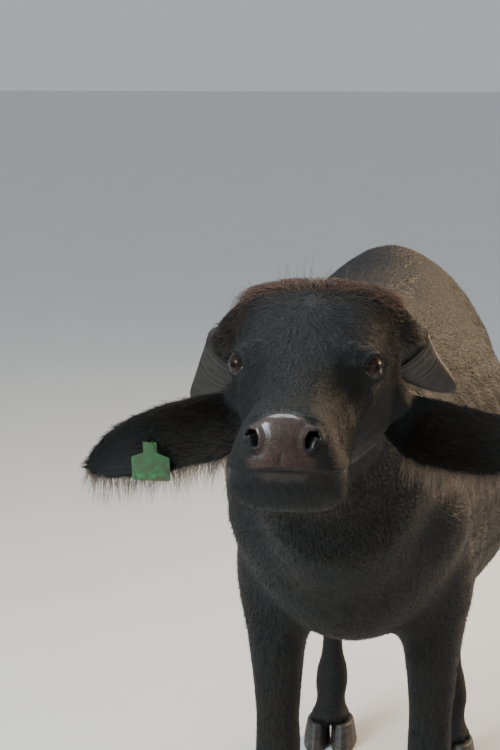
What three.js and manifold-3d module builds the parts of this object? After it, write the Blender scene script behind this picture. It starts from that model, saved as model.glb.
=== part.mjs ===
// A young adult river buffalo cow at life size, standing still with her head stretched forward.
// Millimetres, +Z up. She faces -Y and her left side is +X. The origin lies on the ground, under the
// middle of her bounding box.

import * as THREE from "three";
import { mergeVertices } from "three/addons/utils/BufferGeometryUtils.js";
import Module from "manifold-3d";

const wasm = await Module();
wasm.setup();

// Driving dimensions
const HEAD_DROP = 6; // degrees that the line of the face falls towards the nose
const POLL = { forward: 955, height: 1412 };
const EYE = { across: 89.5, along: 211, up: -46, radius: 22, lid: 4 };
const EYE_OPENING = { half: 21, halfHeight: 15, tilt: 4 };
const EAR = { width: 114, thickness: 5 };
const HORN = { broad: 47, thin: 31 }; // half sizes at the root
const HORN_ROOT = 0.5; // share of a horn's path that skin and hair cover
const HORN_SPREAD = { left: 0, right: 36 }; // how much further out than drawn each horn stands
const HORN_DROP = { left: 0, right: 20 }; // how much lower than drawn each tip hangs
const LIP_ROLL = 7.5;
const MOUTH = { front: 480, corner: 352, level: -102, fall: 36, width: 3.5, depth: 7 };
const STRIDE = { front_left: -25, front_right: 45, hind_left: 55, hind_right: -30 };
const CORONET = 66; // height at which the claws meet the skin
const SWITCH_TOP = 612; // height at which the tail's hair begins
const PART_GAP = 0.3;
const SIDES = { left: 1, right: -1 };

// Points round each section
const ROUND = { trunk: 24, neck: 18, head: 26, leg: 14, tail: 8, horn: 12, claw: 12, ball: 14, ear: 7 };

const mix = (a, b, t) => a + (b - a) * t;
const radians = (degrees) => (degrees * Math.PI) / 180;

/** A point by its distance across to the left, forward from mid-body, and above the ground. */
const at = (across, forward, height) => new THREE.Vector3(across, -forward, height);

/** A point of the head: across, along the face from the poll to the nose, and up from that line. */
function headAt(across, along, up) {
  const [c, s] = [Math.cos(radians(HEAD_DROP)), Math.sin(radians(HEAD_DROP))];
  return at(across, POLL.forward + along * c + up * s, POLL.height - along * s + up * c);
}

/** A direction of the head, as a unit vector. */
const headWay = (across, along, up) =>
  headAt(across, along, up).sub(headAt(0, 0, 0)).normalize();

/** The solid of a closed mesh, turned the right way out. */
function solidOf(positions, index) {
  const geometry = new THREE.BufferGeometry();
  geometry.setAttribute("position", new THREE.Float32BufferAttribute(positions, 3));
  geometry.setIndex(index);
  const merged = mergeVertices(geometry, 1e-3);
  const vertProperties = merged.attributes.position.array;
  const corners = Array.from(merged.index.array);
  const make = (list) =>
    new wasm.Manifold(new wasm.Mesh({ numProp: 3, vertProperties, triVerts: new Uint32Array(list) }));
  const solid = make(corners);
  return solid.volume() > 0 ? solid : make(corners.reverse());
}

/** The solid of a three.js geometry, set by a matrix. */
function solidFrom(geometry, matrix = new THREE.Matrix4()) {
  const bare = geometry.clone().applyMatrix4(matrix);
  bare.deleteAttribute("normal");
  bare.deleteAttribute("uv");
  const merged = mergeVertices(bare, 1e-3);
  return solidOf(merged.attributes.position.array, Array.from(merged.index.array));
}

/** A matrix whose X, Y and Z axes run as given, at a place. */
const axes = (x, y, z, origin) => new THREE.Matrix4().makeBasis(x, y, z).setPosition(origin);

/** The middle of some points. */
function middleOf(points) {
  const sum = points.reduce((total, p) => total.add(p), new THREE.Vector3());
  return sum.divideScalar(points.length);
}

/** A closed skin through rings of equal count, each end closed by a fan. */
function loft(rings) {
  const count = rings[0].length;
  const positions = rings.flat().flatMap((p) => p.toArray());
  const index = [];
  for (let r = 0; r + 1 < rings.length; r++)
    for (let i = 0; i < count; i++) {
      const [a, b] = [r * count + i, r * count + ((i + 1) % count)];
      index.push(a, b, b + count, a, b + count, a + count);
    }
  [0, rings.length - 1].forEach((r) => {
    const hub = positions.length / 3;
    positions.push(...middleOf(rings[r]).toArray());
    for (let i = 0; i < count; i++) {
      const [a, b] = [r * count + i, r * count + ((i + 1) % count)];
      index.push(...(r === 0 ? [b, a, hub] : [a, b, hub]));
    }
  });
  return solidOf(positions, index);
}

/** Rows of measures with smooth rows between them. The first column says where each row stands. */
function smoothRows(rows, perSpan) {
  const out = [];
  for (let i = 0; i + 1 < rows.length; i++) {
    const [a, b] = [rows[i], rows[i + 1]];
    const before = rows[Math.max(i - 1, 0)];
    const after = rows[Math.min(i + 2, rows.length - 1)];
    const span = b[0] - a[0];
    for (let k = 0; k < perSpan; k++) {
      const t = k / perSpan;
      const [t2, t3] = [t * t, t * t * t];
      out.push(
        a.map((_, c) => {
          const slopeA = ((b[c] - before[c]) / (b[0] - before[0])) * span;
          const slopeB = ((after[c] - a[c]) / (after[0] - a[0])) * span;
          const start = (2 * t3 - 3 * t2 + 1) * a[c] + (t3 - 2 * t2 + t) * slopeA;
          return start + (3 * t2 - 2 * t3) * b[c] + (t3 - t2) * slopeB;
        }),
      );
    }
  }
  return [...out, rows.at(-1)];
}

/** Points round a section given by its keys of [across, up] from top to bottom on one side. */
function outline(keys, count) {
  const other = keys.slice(1, -1).reverse();
  const ring = [...keys, ...other.map(([across, up]) => [-across, up])];
  const curve = new THREE.CatmullRomCurve3(
    ring.map(([across, up]) => new THREE.Vector3(across, up, 0)),
    true,
    "centripetal",
  );
  return Array.from({ length: count }, (_, i) => curve.getPoint(i / count));
}

/** Five keys of a rounded section. Crown and keel say how full it is above and below its widest level. */
const roundKeys = (half, top, bottom, wide, crown, keel) => [
  [0, top],
  [crown * half, wide + crown * (top - wide)],
  [half, wide],
  [keel * half, wide - keel * (wide - bottom)],
  [0, bottom],
];

/** Pushes ring points out, or in, round named spots of both sides of the body. */
function swell(rings, swells) {
  for (const ring of rings) {
    const middle = middleOf(ring);
    for (const point of ring) {
      const folded = new THREE.Vector3(Math.abs(point.x), point.y, point.z);
      const push = swells.reduce(
        (sum, { spot, reach, by }) => sum + by * Math.exp(-((folded.distanceTo(spot) / reach) ** 2)),
        0,
      );
      point.addScaledVector(point.clone().sub(middle).normalize(), push);
    }
  }
  return rings;
}

/** An oval tube along a smooth path, with its half sizes at each share of the way. */
function sweep({ path, steps, sides, sizeAt, broadWay }) {
  const curve = new THREE.CatmullRomCurve3(path, false, "centripetal");
  const rings = [];
  for (let s = 0; s <= steps; s++) {
    const t = s / steps;
    const centre = curve.getPointAt(t);
    const heading = curve.getTangentAt(t);
    const thin = new THREE.Vector3().crossVectors(heading, broadWay).normalize();
    const broad = new THREE.Vector3().crossVectors(thin, heading).normalize();
    const [broadHalf, thinHalf] = sizeAt(t);
    rings.push(
      Array.from({ length: sides }, (_, i) => {
        const turn = (2 * Math.PI * i) / sides;
        return centre
          .clone()
          .addScaledVector(broad, broadHalf * Math.cos(turn))
          .addScaledVector(thin, thinHalf * Math.sin(turn));
      }),
    );
  }
  return loft(rings);
}

/** A thin plate whose place is taken out to part two neighbours. */
function partingPlate(centre, normal, wide, deep = wide) {
  const across = new THREE.Vector3(1, 0, 0).addScaledVector(normal, -normal.x).normalize();
  const place = axes(across, new THREE.Vector3().crossVectors(normal, across), normal, centre);
  return solidFrom(new THREE.BoxGeometry(wide, deep, PART_GAP), place);
}

/** A thin oval plate that parts one limb from its root, square to a path. */
function partingDisc(path, share, broadWay, broad, thin) {
  const curve = new THREE.CatmullRomCurve3(path, false, "centripetal");
  const heading = curve.getTangentAt(share);
  const thinWay = new THREE.Vector3().crossVectors(heading, broadWay).normalize();
  const wideWay = new THREE.Vector3().crossVectors(thinWay, heading).normalize();
  const disc = new THREE.CylinderGeometry(1, 1, PART_GAP, 16).scale(broad, 1, thin);
  return solidFrom(disc, axes(wideWay, heading, thinWay.negate(), curve.getPointAt(share)));
}

/** One side's copy of a point list that is given for the left. */
const onSide = (points, side) => points.map((p) => new THREE.Vector3(p.x * side, p.y, p.z));

// Trunk: forward, top, bottom, half width, height of the widest level, crown and keel fullness
const TORSO = [
  [-706, 1095, 990, 62, 1048, 0.7, 0.7],
  [-690, 1150, 930, 118, 1050, 0.7, 0.7],
  [-640, 1214, 860, 178, 1058, 0.68, 0.7],
  [-560, 1262, 792, 220, 1050, 0.66, 0.72],
  [-440, 1300, 728, 242, 1030, 0.65, 0.72],
  [-300, 1303, 668, 280, 950, 0.66, 0.74],
  [-120, 1289, 622, 314, 900, 0.68, 0.76],
  [80, 1289, 615, 312, 890, 0.68, 0.76],
  [240, 1312, 628, 276, 890, 0.64, 0.74],
  [370, 1334, 642, 238, 900, 0.58, 0.72],
  [470, 1328, 662, 214, 920, 0.58, 0.72],
  [560, 1296, 702, 190, 940, 0.6, 0.72],
  [630, 1208, 760, 152, 950, 0.65, 0.72],
  [682, 1096, 842, 104, 955, 0.7, 0.7],
  [702, 1012, 900, 50, 960, 0.7, 0.7],
];
const TORSO_SWELLS = [
  { spot: at(232, -398, 1246), reach: 62, by: 24 }, // hip bone
  { spot: at(100, -690, 1135), reach: 52, by: 20 }, // pin bone
  { spot: at(0, -642, 1240), reach: 55, by: 12 }, // tail head
  { spot: at(215, -540, 1180), reach: 85, by: -16 }, // between hip and pin bones
  { spot: at(258, -275, 1185), reach: 92, by: -26 }, // hollow of the flank
  { spot: at(190, 430, 1130), reach: 110, by: 16 }, // shoulder blade
  { spot: at(185, 590, 930), reach: 85, by: 32 }, // point of the shoulder
  { spot: at(268, 235, 960), reach: 95, by: -14 }, // behind the shoulder
  { spot: at(0, 640, 760), reach: 95, by: 26 }, // brisket
];

/** The trunk, from the buttocks to the chest. */
function torso() {
  const rings = smoothRows(TORSO, 2).map(([forward, top, bottom, half, wide, crown, keel]) =>
    outline(roundKeys(half, top, bottom, wide, crown, keel), ROUND.trunk).map((p) =>
      at(p.x, forward, p.y),
    ),
  );
  return loft(swell(rings, TORSO_SWELLS));
}

// Neck: forward and height of the top line, the same of the throat line, and half width
const NECK = [
  [430, 1282, 540, 790, 138],
  [510, 1308, 655, 800, 170],
  [600, 1322, 738, 874, 164],
  [700, 1342, 796, 956, 137],
  [800, 1372, 850, 1038, 117],
  [885, 1400, 912, 1118, 108],
  [960, 1398, 985, 1180, 94],
];

/** The neck, from inside the shoulders to inside the head. */
function neck() {
  const fullness = 0.7;
  return loft(
    smoothRows(NECK, 2).map(([topForward, topHeight, lowForward, lowHeight, half]) =>
      outline(roundKeys(half, 1, 0, 0.45, fullness, fullness), ROUND.neck).map((p) =>
        at(p.x, mix(lowForward, topForward, p.y), mix(lowHeight, topHeight, p.y)),
      ),
    ),
  );
}

// Head: along the face, then keys of [across, up] for the top, its corner, the widest place, the
// lower corner and the underside
const HEAD = [
  [-62, -48, 58, -66, 82, -118, 62, -180, -206],
  [-6, 10, 98, -4, 118, -74, 84, -190, -246],
  [50, 26, 106, 9, 122, -66, 92, -196, -262],
  [118, 24, 92, 6, 114, -60, 92, -192, -258],
  [176, 12, 76, -4, 104, -50, 86, -170, -242],
  [216, 0, 64, -12, 101, -56, 80, -156, -226],
  [268, -12, 48, -24, 82, -84, 72, -158, -210],
  [328, -22, 42, -34, 73, -110, 72, -168, -198],
  [380, -28, 44, -39, 80, -132, 77, -176, -193],
  [420, -31, 48, -43, 84, -136, 75, -174, -188],
  [448, -37, 48, -50, 79, -130, 66, -166, -178],
  [466, -50, 42, -62, 65, -118, 50, -152, -162],
  [476, -66, 30, -76, 46, -104, 32, -131, -140],
  [481, -84, 16, -90, 22, -105, 16, -118, -122],
];
const HEAD_SWELLS = [
  { spot: headAt(0, 100, 22), reach: 62, by: 5 }, // dome of the forehead
  { spot: headAt(88, 200, -30), reach: 34, by: 8 }, // brow
  { spot: headAt(84, 264, -84), reach: 32, by: -5 }, // hollow before the eye
  { spot: headAt(98, 105, -165), reach: 55, by: 7 }, // cheek
  { spot: headAt(80, 62, -240), reach: 38, by: 8 }, // angle of the jaw
  { spot: headAt(40, 408, -182), reach: 32, by: 5 }, // chin
];

/** Rings of the head, drawn in by an inset all round. */
function headRings(inset = 0) {
  return smoothRows(HEAD, 2).map(([along, top, cornerX, cornerUp, wideX, wideUp, lowX, lowUp, under]) => {
    const middle = (top + under) / 2;
    const keep = (half) => Math.max(half - inset, 0) / half;
    const keys = [
      [0, top],
      [cornerX, cornerUp],
      [wideX, wideUp],
      [lowX, lowUp],
      [0, under],
    ].map(([across, up]) => [
      across * keep(wideX),
      middle + (up - middle) * keep((top - under) / 2),
    ]);
    return outline(keys, ROUND.head).map((p) => headAt(p.x, along - inset, p.y));
  });
}

/** How deep below the line of the face the closed mouth lies, at a distance along it. */
const mouthLevel = (along) =>
  MOUTH.level - MOUTH.fall * Math.max((MOUTH.front - along) / (MOUTH.front - MOUTH.corner), 0) ** 0.8;

/** The groove of the closed mouth, which runs round the muzzle between the lips. */
function mouthGroove() {
  const [steps, reach, ahead] = [6, 100, 20];
  const stations = Array.from({ length: steps + 1 }, (_, i) =>
    mix(MOUTH.corner, MOUTH.front + ahead, i / steps),
  );
  const edge = (offset) => stations.map((along) => new THREE.Vector2(along, mouthLevel(along) + offset));
  const band = new THREE.Shape([...edge(-MOUTH.width / 2), ...edge(MOUTH.width / 2).reverse()]);
  const slab = new THREE.ExtrudeGeometry(band, { depth: 2 * reach, bevelEnabled: false });
  const place = axes(headWay(0, 1, 0), headWay(0, 0, 1), headWay(1, 0, 0), headAt(-reach, 0, 0));
  return solidFrom(slab, place).subtract(loft(headRings(MOUTH.depth)));
}

/** A rolled edge of a lip, so far above the mouth or below it, from one corner round to the other. */
function lip(offset, back, roll) {
  const half = [
    [0, 477.5],
    [22, 476],
    [43, 471],
    [59, 461],
    [72, 445],
    [77.5, 417],
    [70, 366],
  ].map(([across, along]) => headAt(across, along - back, mouthLevel(along) + offset));
  return sweep({
    path: [...onSide(half.slice(1), -1).reverse(), ...half],
    steps: 14,
    sides: 6,
    sizeAt: (t) => [roll, roll * (0.55 + 0.45 * Math.sin(Math.PI * t))],
    broadWay: headWay(0, 0, 1),
  });
}

/** The hole and the raised rim of one nostril. */
function nostril(side) {
  const centre = headAt(40 * side, 461, -67);
  const out = headWay(0.42 * side, 1, 0.32);
  const tall = headWay(0.5 * side, -0.15, 1);
  const wide = new THREE.Vector3().crossVectors(tall, out).normalize();
  const upright = new THREE.Vector3().crossVectors(out, wide).normalize();
  const place = axes(wide, upright, out, centre);
  const hole = new THREE.SphereGeometry(1, 10, 6).scale(8.5, 13, 30);
  const rim = new THREE.TorusGeometry(13.5, 5, 5, 12).scale(0.82, 1.06, 1);
  return { hole: solidFrom(hole, place), rim: solidFrom(rim, place) };
}

/** One eye: its ball, the lids that stand round it, and what is cut away for the ball and the opening. */
function eye(side) {
  const centre = headAt(EYE.across * side, EYE.along, EYE.up);
  const gaze = headWay(0.77 * side, 0.6, 0.14);
  const slope = radians(EYE_OPENING.tilt);
  const long = headWay(-0.25 * side, Math.cos(slope), -Math.sin(slope));
  const tall = new THREE.Vector3().crossVectors(gaze, long).normalize();
  const wide = new THREE.Vector3().crossVectors(tall, gaze).normalize();
  const ball = (radius) =>
    solidFrom(new THREE.SphereGeometry(radius, ROUND.ball, ROUND.ball / 2), axes(wide, gaze, tall, centre));
  const almond = new THREE.SphereGeometry(1, 14, 8).scale(
    EYE_OPENING.half,
    EYE.radius * 1.6,
    EYE_OPENING.halfHeight,
  );
  const forward = centre.clone().addScaledVector(gaze, EYE.radius * 0.9);
  return {
    ball: ball(EYE.radius),
    lids: ball(EYE.radius + EYE.lid),
    cut: ball(EYE.radius + PART_GAP).add(solidFrom(almond, axes(wide, gaze, tall, forward))),
  };
}

// Middle line of the left horn
const HORN_PATH = [
  headAt(64, 52, -22),
  headAt(94, 42, -30),
  headAt(113, 15, -51),
  headAt(127, -30, -92),
  headAt(146, -75, -134),
  headAt(173, -110, -168),
  headAt(202, -138, -196),
];
const HORN_BROAD_WAY = headWay(0.5, 0.25, 1);

/** The path of one horn, from inside the skull to the tip. */
function hornPath(name) {
  return HORN_PATH.map((p, i) => {
    const spread = HORN_SPREAD[name] * Math.min(i / 4, 1);
    const drop = HORN_DROP[name] * (i / (HORN_PATH.length - 1));
    return new THREE.Vector3((p.x + spread) * SIDES[name], p.y, p.z - drop);
  });
}

/** A horn, broad and flat at its root, that droops outwards and back. */
function horn(name) {
  const thinning = (t) => Math.max(Math.cos((t * Math.PI) / 2) ** 0.52, 0.14);
  return sweep({
    path: hornPath(name),
    steps: 12,
    sides: ROUND.horn,
    sizeAt: (t) => [HORN.broad * thinning(t), HORN.thin * thinning(t)],
    broadWay: onSide([HORN_BROAD_WAY], SIDES[name])[0],
  });
}

// Ears, from inside the head to the tip. The right one hangs lower.
const EAR_PATH = {
  left: [
    headAt(104, 66, -144),
    headAt(136, 64, -182),
    headAt(178, 62, -201),
    headAt(244, 62, -211),
    headAt(308, 60, -220),
    headAt(370, 56, -235),
  ],
  right: [
    headAt(-104, 66, -144),
    headAt(-136, 64, -183),
    headAt(-178, 62, -205),
    headAt(-244, 62, -223),
    headAt(-306, 60, -248),
    headAt(-375, 56, -283),
  ],
};
const EAR_PARTING = 0.22; // share of the ear's way at which it leaves the head
// Share of the way to the tip, share of the full width, degrees that the cup wraps round
const EAR_SHAPE = [
  [0, 0.54, 250],
  [0.1, 0.72, 225],
  [0.2, 0.92, 185],
  [0.33, 1.02, 150],
  [0.5, 1, 115],
  [0.66, 0.93, 92],
  [0.8, 0.76, 78],
  [0.91, 0.5, 68],
  [0.97, 0.28, 60],
  [1, 0.12, 54],
];

/** The place on the ear at each share of its length: its middle, its directions, and the cup's arc. */
function earStations(name) {
  const side = SIDES[name];
  const curve = new THREE.CatmullRomCurve3(EAR_PATH[name], false, "centripetal");
  return EAR_SHAPE.map(([t, share, wrap]) => {
    const heading = curve.getTangentAt(t);
    const opening = headWay(0.18 * side, 1, -0.1);
    const broad = new THREE.Vector3().crossVectors(heading, opening).normalize();
    const facing = new THREE.Vector3().crossVectors(broad, heading).normalize();
    const halfWrap = radians(wrap) / 2;
    const spread = (share * EAR.width) / 2;
    const radius = spread / Math.sin(Math.min(halfWrap, Math.PI / 2));
    return { centre: curve.getPointAt(t), broad, facing, halfWrap, spread, radius };
  });
}

/** A point inside the leaf of one ear, half way along it. */
function earProbe(name) {
  const halfWay = EAR_SHAPE.findIndex(([t]) => t >= 0.5);
  const { centre, facing, halfWrap, radius } = earStations(name)[halfWay];
  return centre.clone().addScaledVector(facing, radius * (Math.cos(halfWrap) - 1) + EAR.thickness / 2);
}

/** The cupped leaf of one ear, open to the front. */
function earCup(name) {
  const steps = ROUND.ear;
  const rings = earStations(name).map(({ centre, broad, facing, halfWrap, radius }) => {
    const arc = (reach, turn) =>
      centre
        .clone()
        .addScaledVector(broad, reach * Math.sin(turn))
        .addScaledVector(facing, radius * Math.cos(halfWrap) - reach * Math.cos(turn));
    const turns = Array.from({ length: steps }, (_, i) => mix(-halfWrap, halfWrap, i / (steps - 1)));
    const back = turns.map((turn) => arc(radius, turn));
    const thickness = Math.min(EAR.thickness, radius * 0.45);
    const front = turns.map((turn) => arc(radius - thickness, turn * 0.96)).reverse();
    return [...back, ...front];
  });
  return shell(rings, steps);
}

/** A closed skin through C-shaped rings, with each end closed between its outer and inner arc. */
function shell(rings, steps) {
  const count = 2 * steps;
  const positions = rings.flat().flatMap((p) => p.toArray());
  const index = [];
  for (let r = 0; r + 1 < rings.length; r++)
    for (let i = 0; i < count; i++) {
      const [a, b] = [r * count + i, r * count + ((i + 1) % count)];
      index.push(a, b, b + count, a, b + count, a + count);
    }
  [0, rings.length - 1].forEach((r) => {
    const first = r * count;
    for (let i = 0; i + 1 < steps; i++) {
      const [a, b, c, d] = [first + i, first + i + 1, first + count - 2 - i, first + count - 1 - i];
      index.push(...(r === 0 ? [b, a, d, b, d, c] : [a, b, d, b, c, d]));
    }
  });
  return solidOf(positions, index);
}

/** The fleshy root of one ear, which closes the bottom of its cup. */
function earRoot(name) {
  const [first, second] = EAR_PATH[name];
  const inside = headAt(80 * SIDES[name], 66, -112);
  return sweep({
    path: [inside, first, second.clone().lerp(first, 0.35)],
    steps: 4,
    sides: 12,
    sizeAt: (t) => [mix(50, 34, t), mix(36, 26, t)],
    broadWay: headWay(0, 0.3, 1),
  });
}

// Legs of the left side: height, front, rear, outer and inner limits
const FRONT_LEG = [
  [985, 500, 350, 196, 92],
  [900, 532, 312, 218, 80],
  [820, 516, 286, 230, 80],
  [740, 490, 284, 230, 80],
  [690, 476, 296, 220, 84],
  [640, 466, 312, 211, 90],
  [560, 454, 330, 202, 98],
  [480, 447, 346, 194, 103],
  [430, 453, 346, 196, 99],
  [390, 455, 344, 196, 99],
  [350, 442, 353, 186, 107],
  [290, 431, 359, 178, 113],
  [225, 430, 357, 178, 113],
  [185, 438, 346, 189, 102],
  [150, 445, 345, 193, 99],
  [114, 452, 362, 187, 104],
  [86, 464, 371, 192, 99],
  [CORONET, 470, 370, 199, 93],
];
const HIND_LEG = [
  [1085, -440, -610, 176, 84],
  [1005, -378, -664, 216, 62],
  [920, -338, -694, 236, 46],
  [840, -322, -696, 242, 40],
  [770, -328, -672, 236, 50],
  [705, -368, -648, 226, 76],
  [640, -430, -642, 213, 98],
  [580, -490, -656, 201, 110],
  [535, -528, -674, 196, 115],
  [490, -543, -668, 198, 112],
  [445, -547, -644, 193, 114],
  [390, -547, -627, 184, 121],
  [310, -540, -616, 180, 124],
  [235, -530, -607, 181, 123],
  [190, -517, -610, 193, 111],
  [154, -506, -606, 196, 108],
  [118, -490, -585, 189, 116],
  [86, -476, -574, 196, 109],
  [CORONET, -469, -571, 203, 101],
];
const STEP_TOP = 860; // height above which a leg no longer swings with the stride
const CANNON = 300; // a height well inside every leg

/** How far a leg's stride has carried it forward at a height. */
const strideAt = (stride, height) => stride * Math.max(1 - height / STEP_TOP, 0);

/** One leg, from inside the trunk down to the coronet. */
function leg(rows, side, stride) {
  const squareness = 0.88;
  const bend = (v) => Math.sign(v) * Math.abs(v) ** squareness;
  return loft(
    rows.map(([height, front, rear, outer, inner]) =>
      Array.from({ length: ROUND.leg }, (_, i) => {
        const turn = (2 * Math.PI * i) / ROUND.leg;
        const forward = mix(rear, front, (1 + bend(Math.cos(turn))) / 2);
        const across = mix(inner, outer, (1 + bend(Math.sin(turn))) / 2);
        return at(across * side, forward + strideAt(stride, height), height);
      }),
    ),
  );
}

// A claw by height, front, rear, outer and inner limit, counted from the middle of its coronet
const CLAW = [
  [0, 86, -47, 36, -28],
  [6, 88, -49, 38, -29],
  [36, 68, -51, 34, -28],
  [CORONET - PART_GAP, 49, -49, 28, -26],
];
const CLAW_OFFSET = 30;

/** One claw of a foot, flat under its sole and pointed at the toe. */
function claw(rows, side, place, stride) {
  const [, front, rear, outer, inner] = rows.at(-1);
  const middle = { across: (outer + inner) / 2, forward: (front + rear) / 2 };
  const face = place === "outer" ? 1 : -1;
  return loft(
    CLAW.map(([height, toe, heel, out, into]) =>
      Array.from({ length: ROUND.claw }, (_, i) => {
        const turn = (2 * Math.PI * i) / ROUND.claw;
        const reach = Math.cos(turn);
        const narrowing = 1 - 0.42 * Math.max(reach, 0) ** 2.2;
        const swing = Math.sin(turn);
        const width = (swing > 0 ? out * narrowing : -into) * Math.sign(swing) * Math.abs(swing) ** 0.8;
        const across = middle.across + face * (CLAW_OFFSET + width + 4 * Math.max(reach, 0));
        const forward = middle.forward + (reach > 0 ? toe : -heel) * reach;
        return at(across * side, forward + strideAt(stride, 0), height);
      }),
    ),
  );
}

/** One of the two small dewclaws behind a fetlock. */
function dewclaw(rows, side, place, stride) {
  const level = 150;
  const [, , rear, outer, inner] = rows.find(([height]) => height <= level + 5);
  const face = place === "outer" ? 1 : -1;
  const across = (outer + inner) / 2 + face * 21;
  const shift = strideAt(stride, level);
  const path = [
    at(across, rear + 28 + shift, level + 12),
    at(across + face * 2, rear + 7 + shift, level),
    at(across + face * 3, rear - 6 + shift, level - 20),
  ];
  return sweep({
    path: onSide(path, side),
    steps: 4,
    sides: 6,
    sizeAt: (t) => [mix(15, 8, t), mix(13, 6, t)],
    broadWay: new THREE.Vector3(1, 0, 0),
  });
}

const TAIL_PATH = [
  at(0, -600, 1196),
  at(0, -668, 1210),
  at(2, -728, 1162),
  at(6, -756, 1050),
  at(10, -752, 900),
  at(15, -742, 760),
  at(20, -732, 640),
  at(22, -732, 500),
  at(22, -732, 430),
];

/** The tail, down to the middle of the hair that hangs from it. */
function tail() {
  return sweep({
    path: TAIL_PATH,
    steps: 18,
    sides: ROUND.tail,
    sizeAt: (t) => [mix(34, 12, t ** 0.6), mix(30, 11, t ** 0.6)],
    broadWay: new THREE.Vector3(1, 0, 0),
  });
}

/** A flat tapered lock of hair that bends over from its heading towards its fall. */
function lock({ root, heading, fall, length, width, thickness, sink }) {
  const middle = root.clone().addScaledVector(heading, length * 0.5).addScaledVector(fall, length * 0.14);
  const tip = root.clone().addScaledVector(heading, length * 0.86).addScaledVector(fall, length * 0.5);
  const flat = new THREE.Vector3().crossVectors(heading, fall).normalize();
  return sweep({
    path: [root.clone().addScaledVector(heading, -sink), root, middle, tip],
    steps: 3,
    sides: 4,
    sizeAt: (t) => [(width / 2) * (1 - t ** 2 * 0.94), (thickness / 2) * (1 - t ** 2 * 0.9)],
    broadWay: flat,
  });
}

/** A repeatable row of numbers between 0 and 1. */
function seededDraw(seed) {
  let state = seed;
  return () => {
    state = (state * 1664525 + 1013904223) % 4294967296;
    return state / 4294967296;
  };
}

/** The hair of the tail, which hangs in overlapping locks round the last of the tail's own length. */
function tailSwitch() {
  const draw = seededDraw(7);
  const [tiers, perTier, drop, longest] = [3, 5, 62, 205];
  const down = new THREE.Vector3(0, 0, -1);
  const locks = [];
  for (let tier = 0; tier < tiers; tier++)
    for (let i = 0; i < perTier; i++) {
      const turn = ((i + tier * 0.5) / perTier) * 2 * Math.PI;
      const out = new THREE.Vector3(Math.cos(turn), Math.sin(turn), 0);
      const root = at(21, -732, SWITCH_TOP - 26 - tier * drop).addScaledVector(out, 8);
      locks.push(
        lock({
          root,
          heading: down.clone().addScaledVector(out, mix(0.36, 0.24, tier / tiers)).normalize(),
          fall: down.clone().addScaledVector(out, -0.9).multiplyScalar(0.42),
          length: mix(0.82, 1, draw()) * longest,
          width: 34,
          thickness: 15,
          sink: 16,
        }),
      );
    }
  return locks;
}

/** The short hair of the poll, in overlapping locks that lie forwards and down over its sides. */
function pollHair() {
  const draw = seededDraw(3);
  const rings = headRings();
  const [firstRing, rows, perRow, reach] = [1, 3, 8, 7.2];
  const locks = [];
  for (let row = 0; row < rows; row++)
    for (let i = 0; i < perRow; i++) {
      const ring = rings[firstRing + row];
      const share = (i - (perRow - 1) / 2 + (row % 2) * 0.5 - 0.25) / perRow;
      const steps = share * reach;
      const floor = Math.floor(steps);
      const [near, far] = [floor, floor + 1].map((n) => ring[(n + ring.length) % ring.length]);
      const across = far.clone().sub(near).normalize();
      const ahead = headWay(0, 1, 0);
      const out = new THREE.Vector3().crossVectors(across, ahead).normalize();
      if (out.z < 0) out.negate();
      const lie = ahead.multiplyScalar(0.85).addScaledVector(across, share * 2.6 + (draw() - 0.5) * 0.5);
      locks.push(
        lock({
          root: near.clone().lerp(far, steps - floor),
          heading: lie.clone().normalize().addScaledVector(out, 0.6).normalize(),
          fall: lie.clone().normalize().addScaledVector(out, -0.5 - 1.4 * share ** 2),
          length: mix(40, 50, draw()),
          width: 36,
          thickness: 12,
          sink: 16,
        }),
      );
    }
  return locks;
}

// Ear tag of the right ear: a hanging plate on a pin, and the button behind the ear
const TAG = { across: -268, below: 3, width: 62, height: 42, neck: 22, thickness: 2, pin: 3, button: 13 };

/** The tag's own directions and the place of its pin, taken from the ear that wears it. */
function tagPlace() {
  const stations = earStations("right");
  const next = stations.findIndex(({ centre }) => centre.x < TAG.across);
  const [before, after] = [stations[next - 1], stations[next]];
  const share = (TAG.across - before.centre.x) / (after.centre.x - before.centre.x);
  const centre = before.centre.clone().lerp(after.centre, share);
  const facing = before.facing.clone().lerp(after.facing, share).normalize();
  const down = new THREE.Vector3(0, 0, -1).addScaledVector(facing, facing.z).normalize();
  return { pin: centre.addScaledVector(down, TAG.below), down, facing };
}

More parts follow.
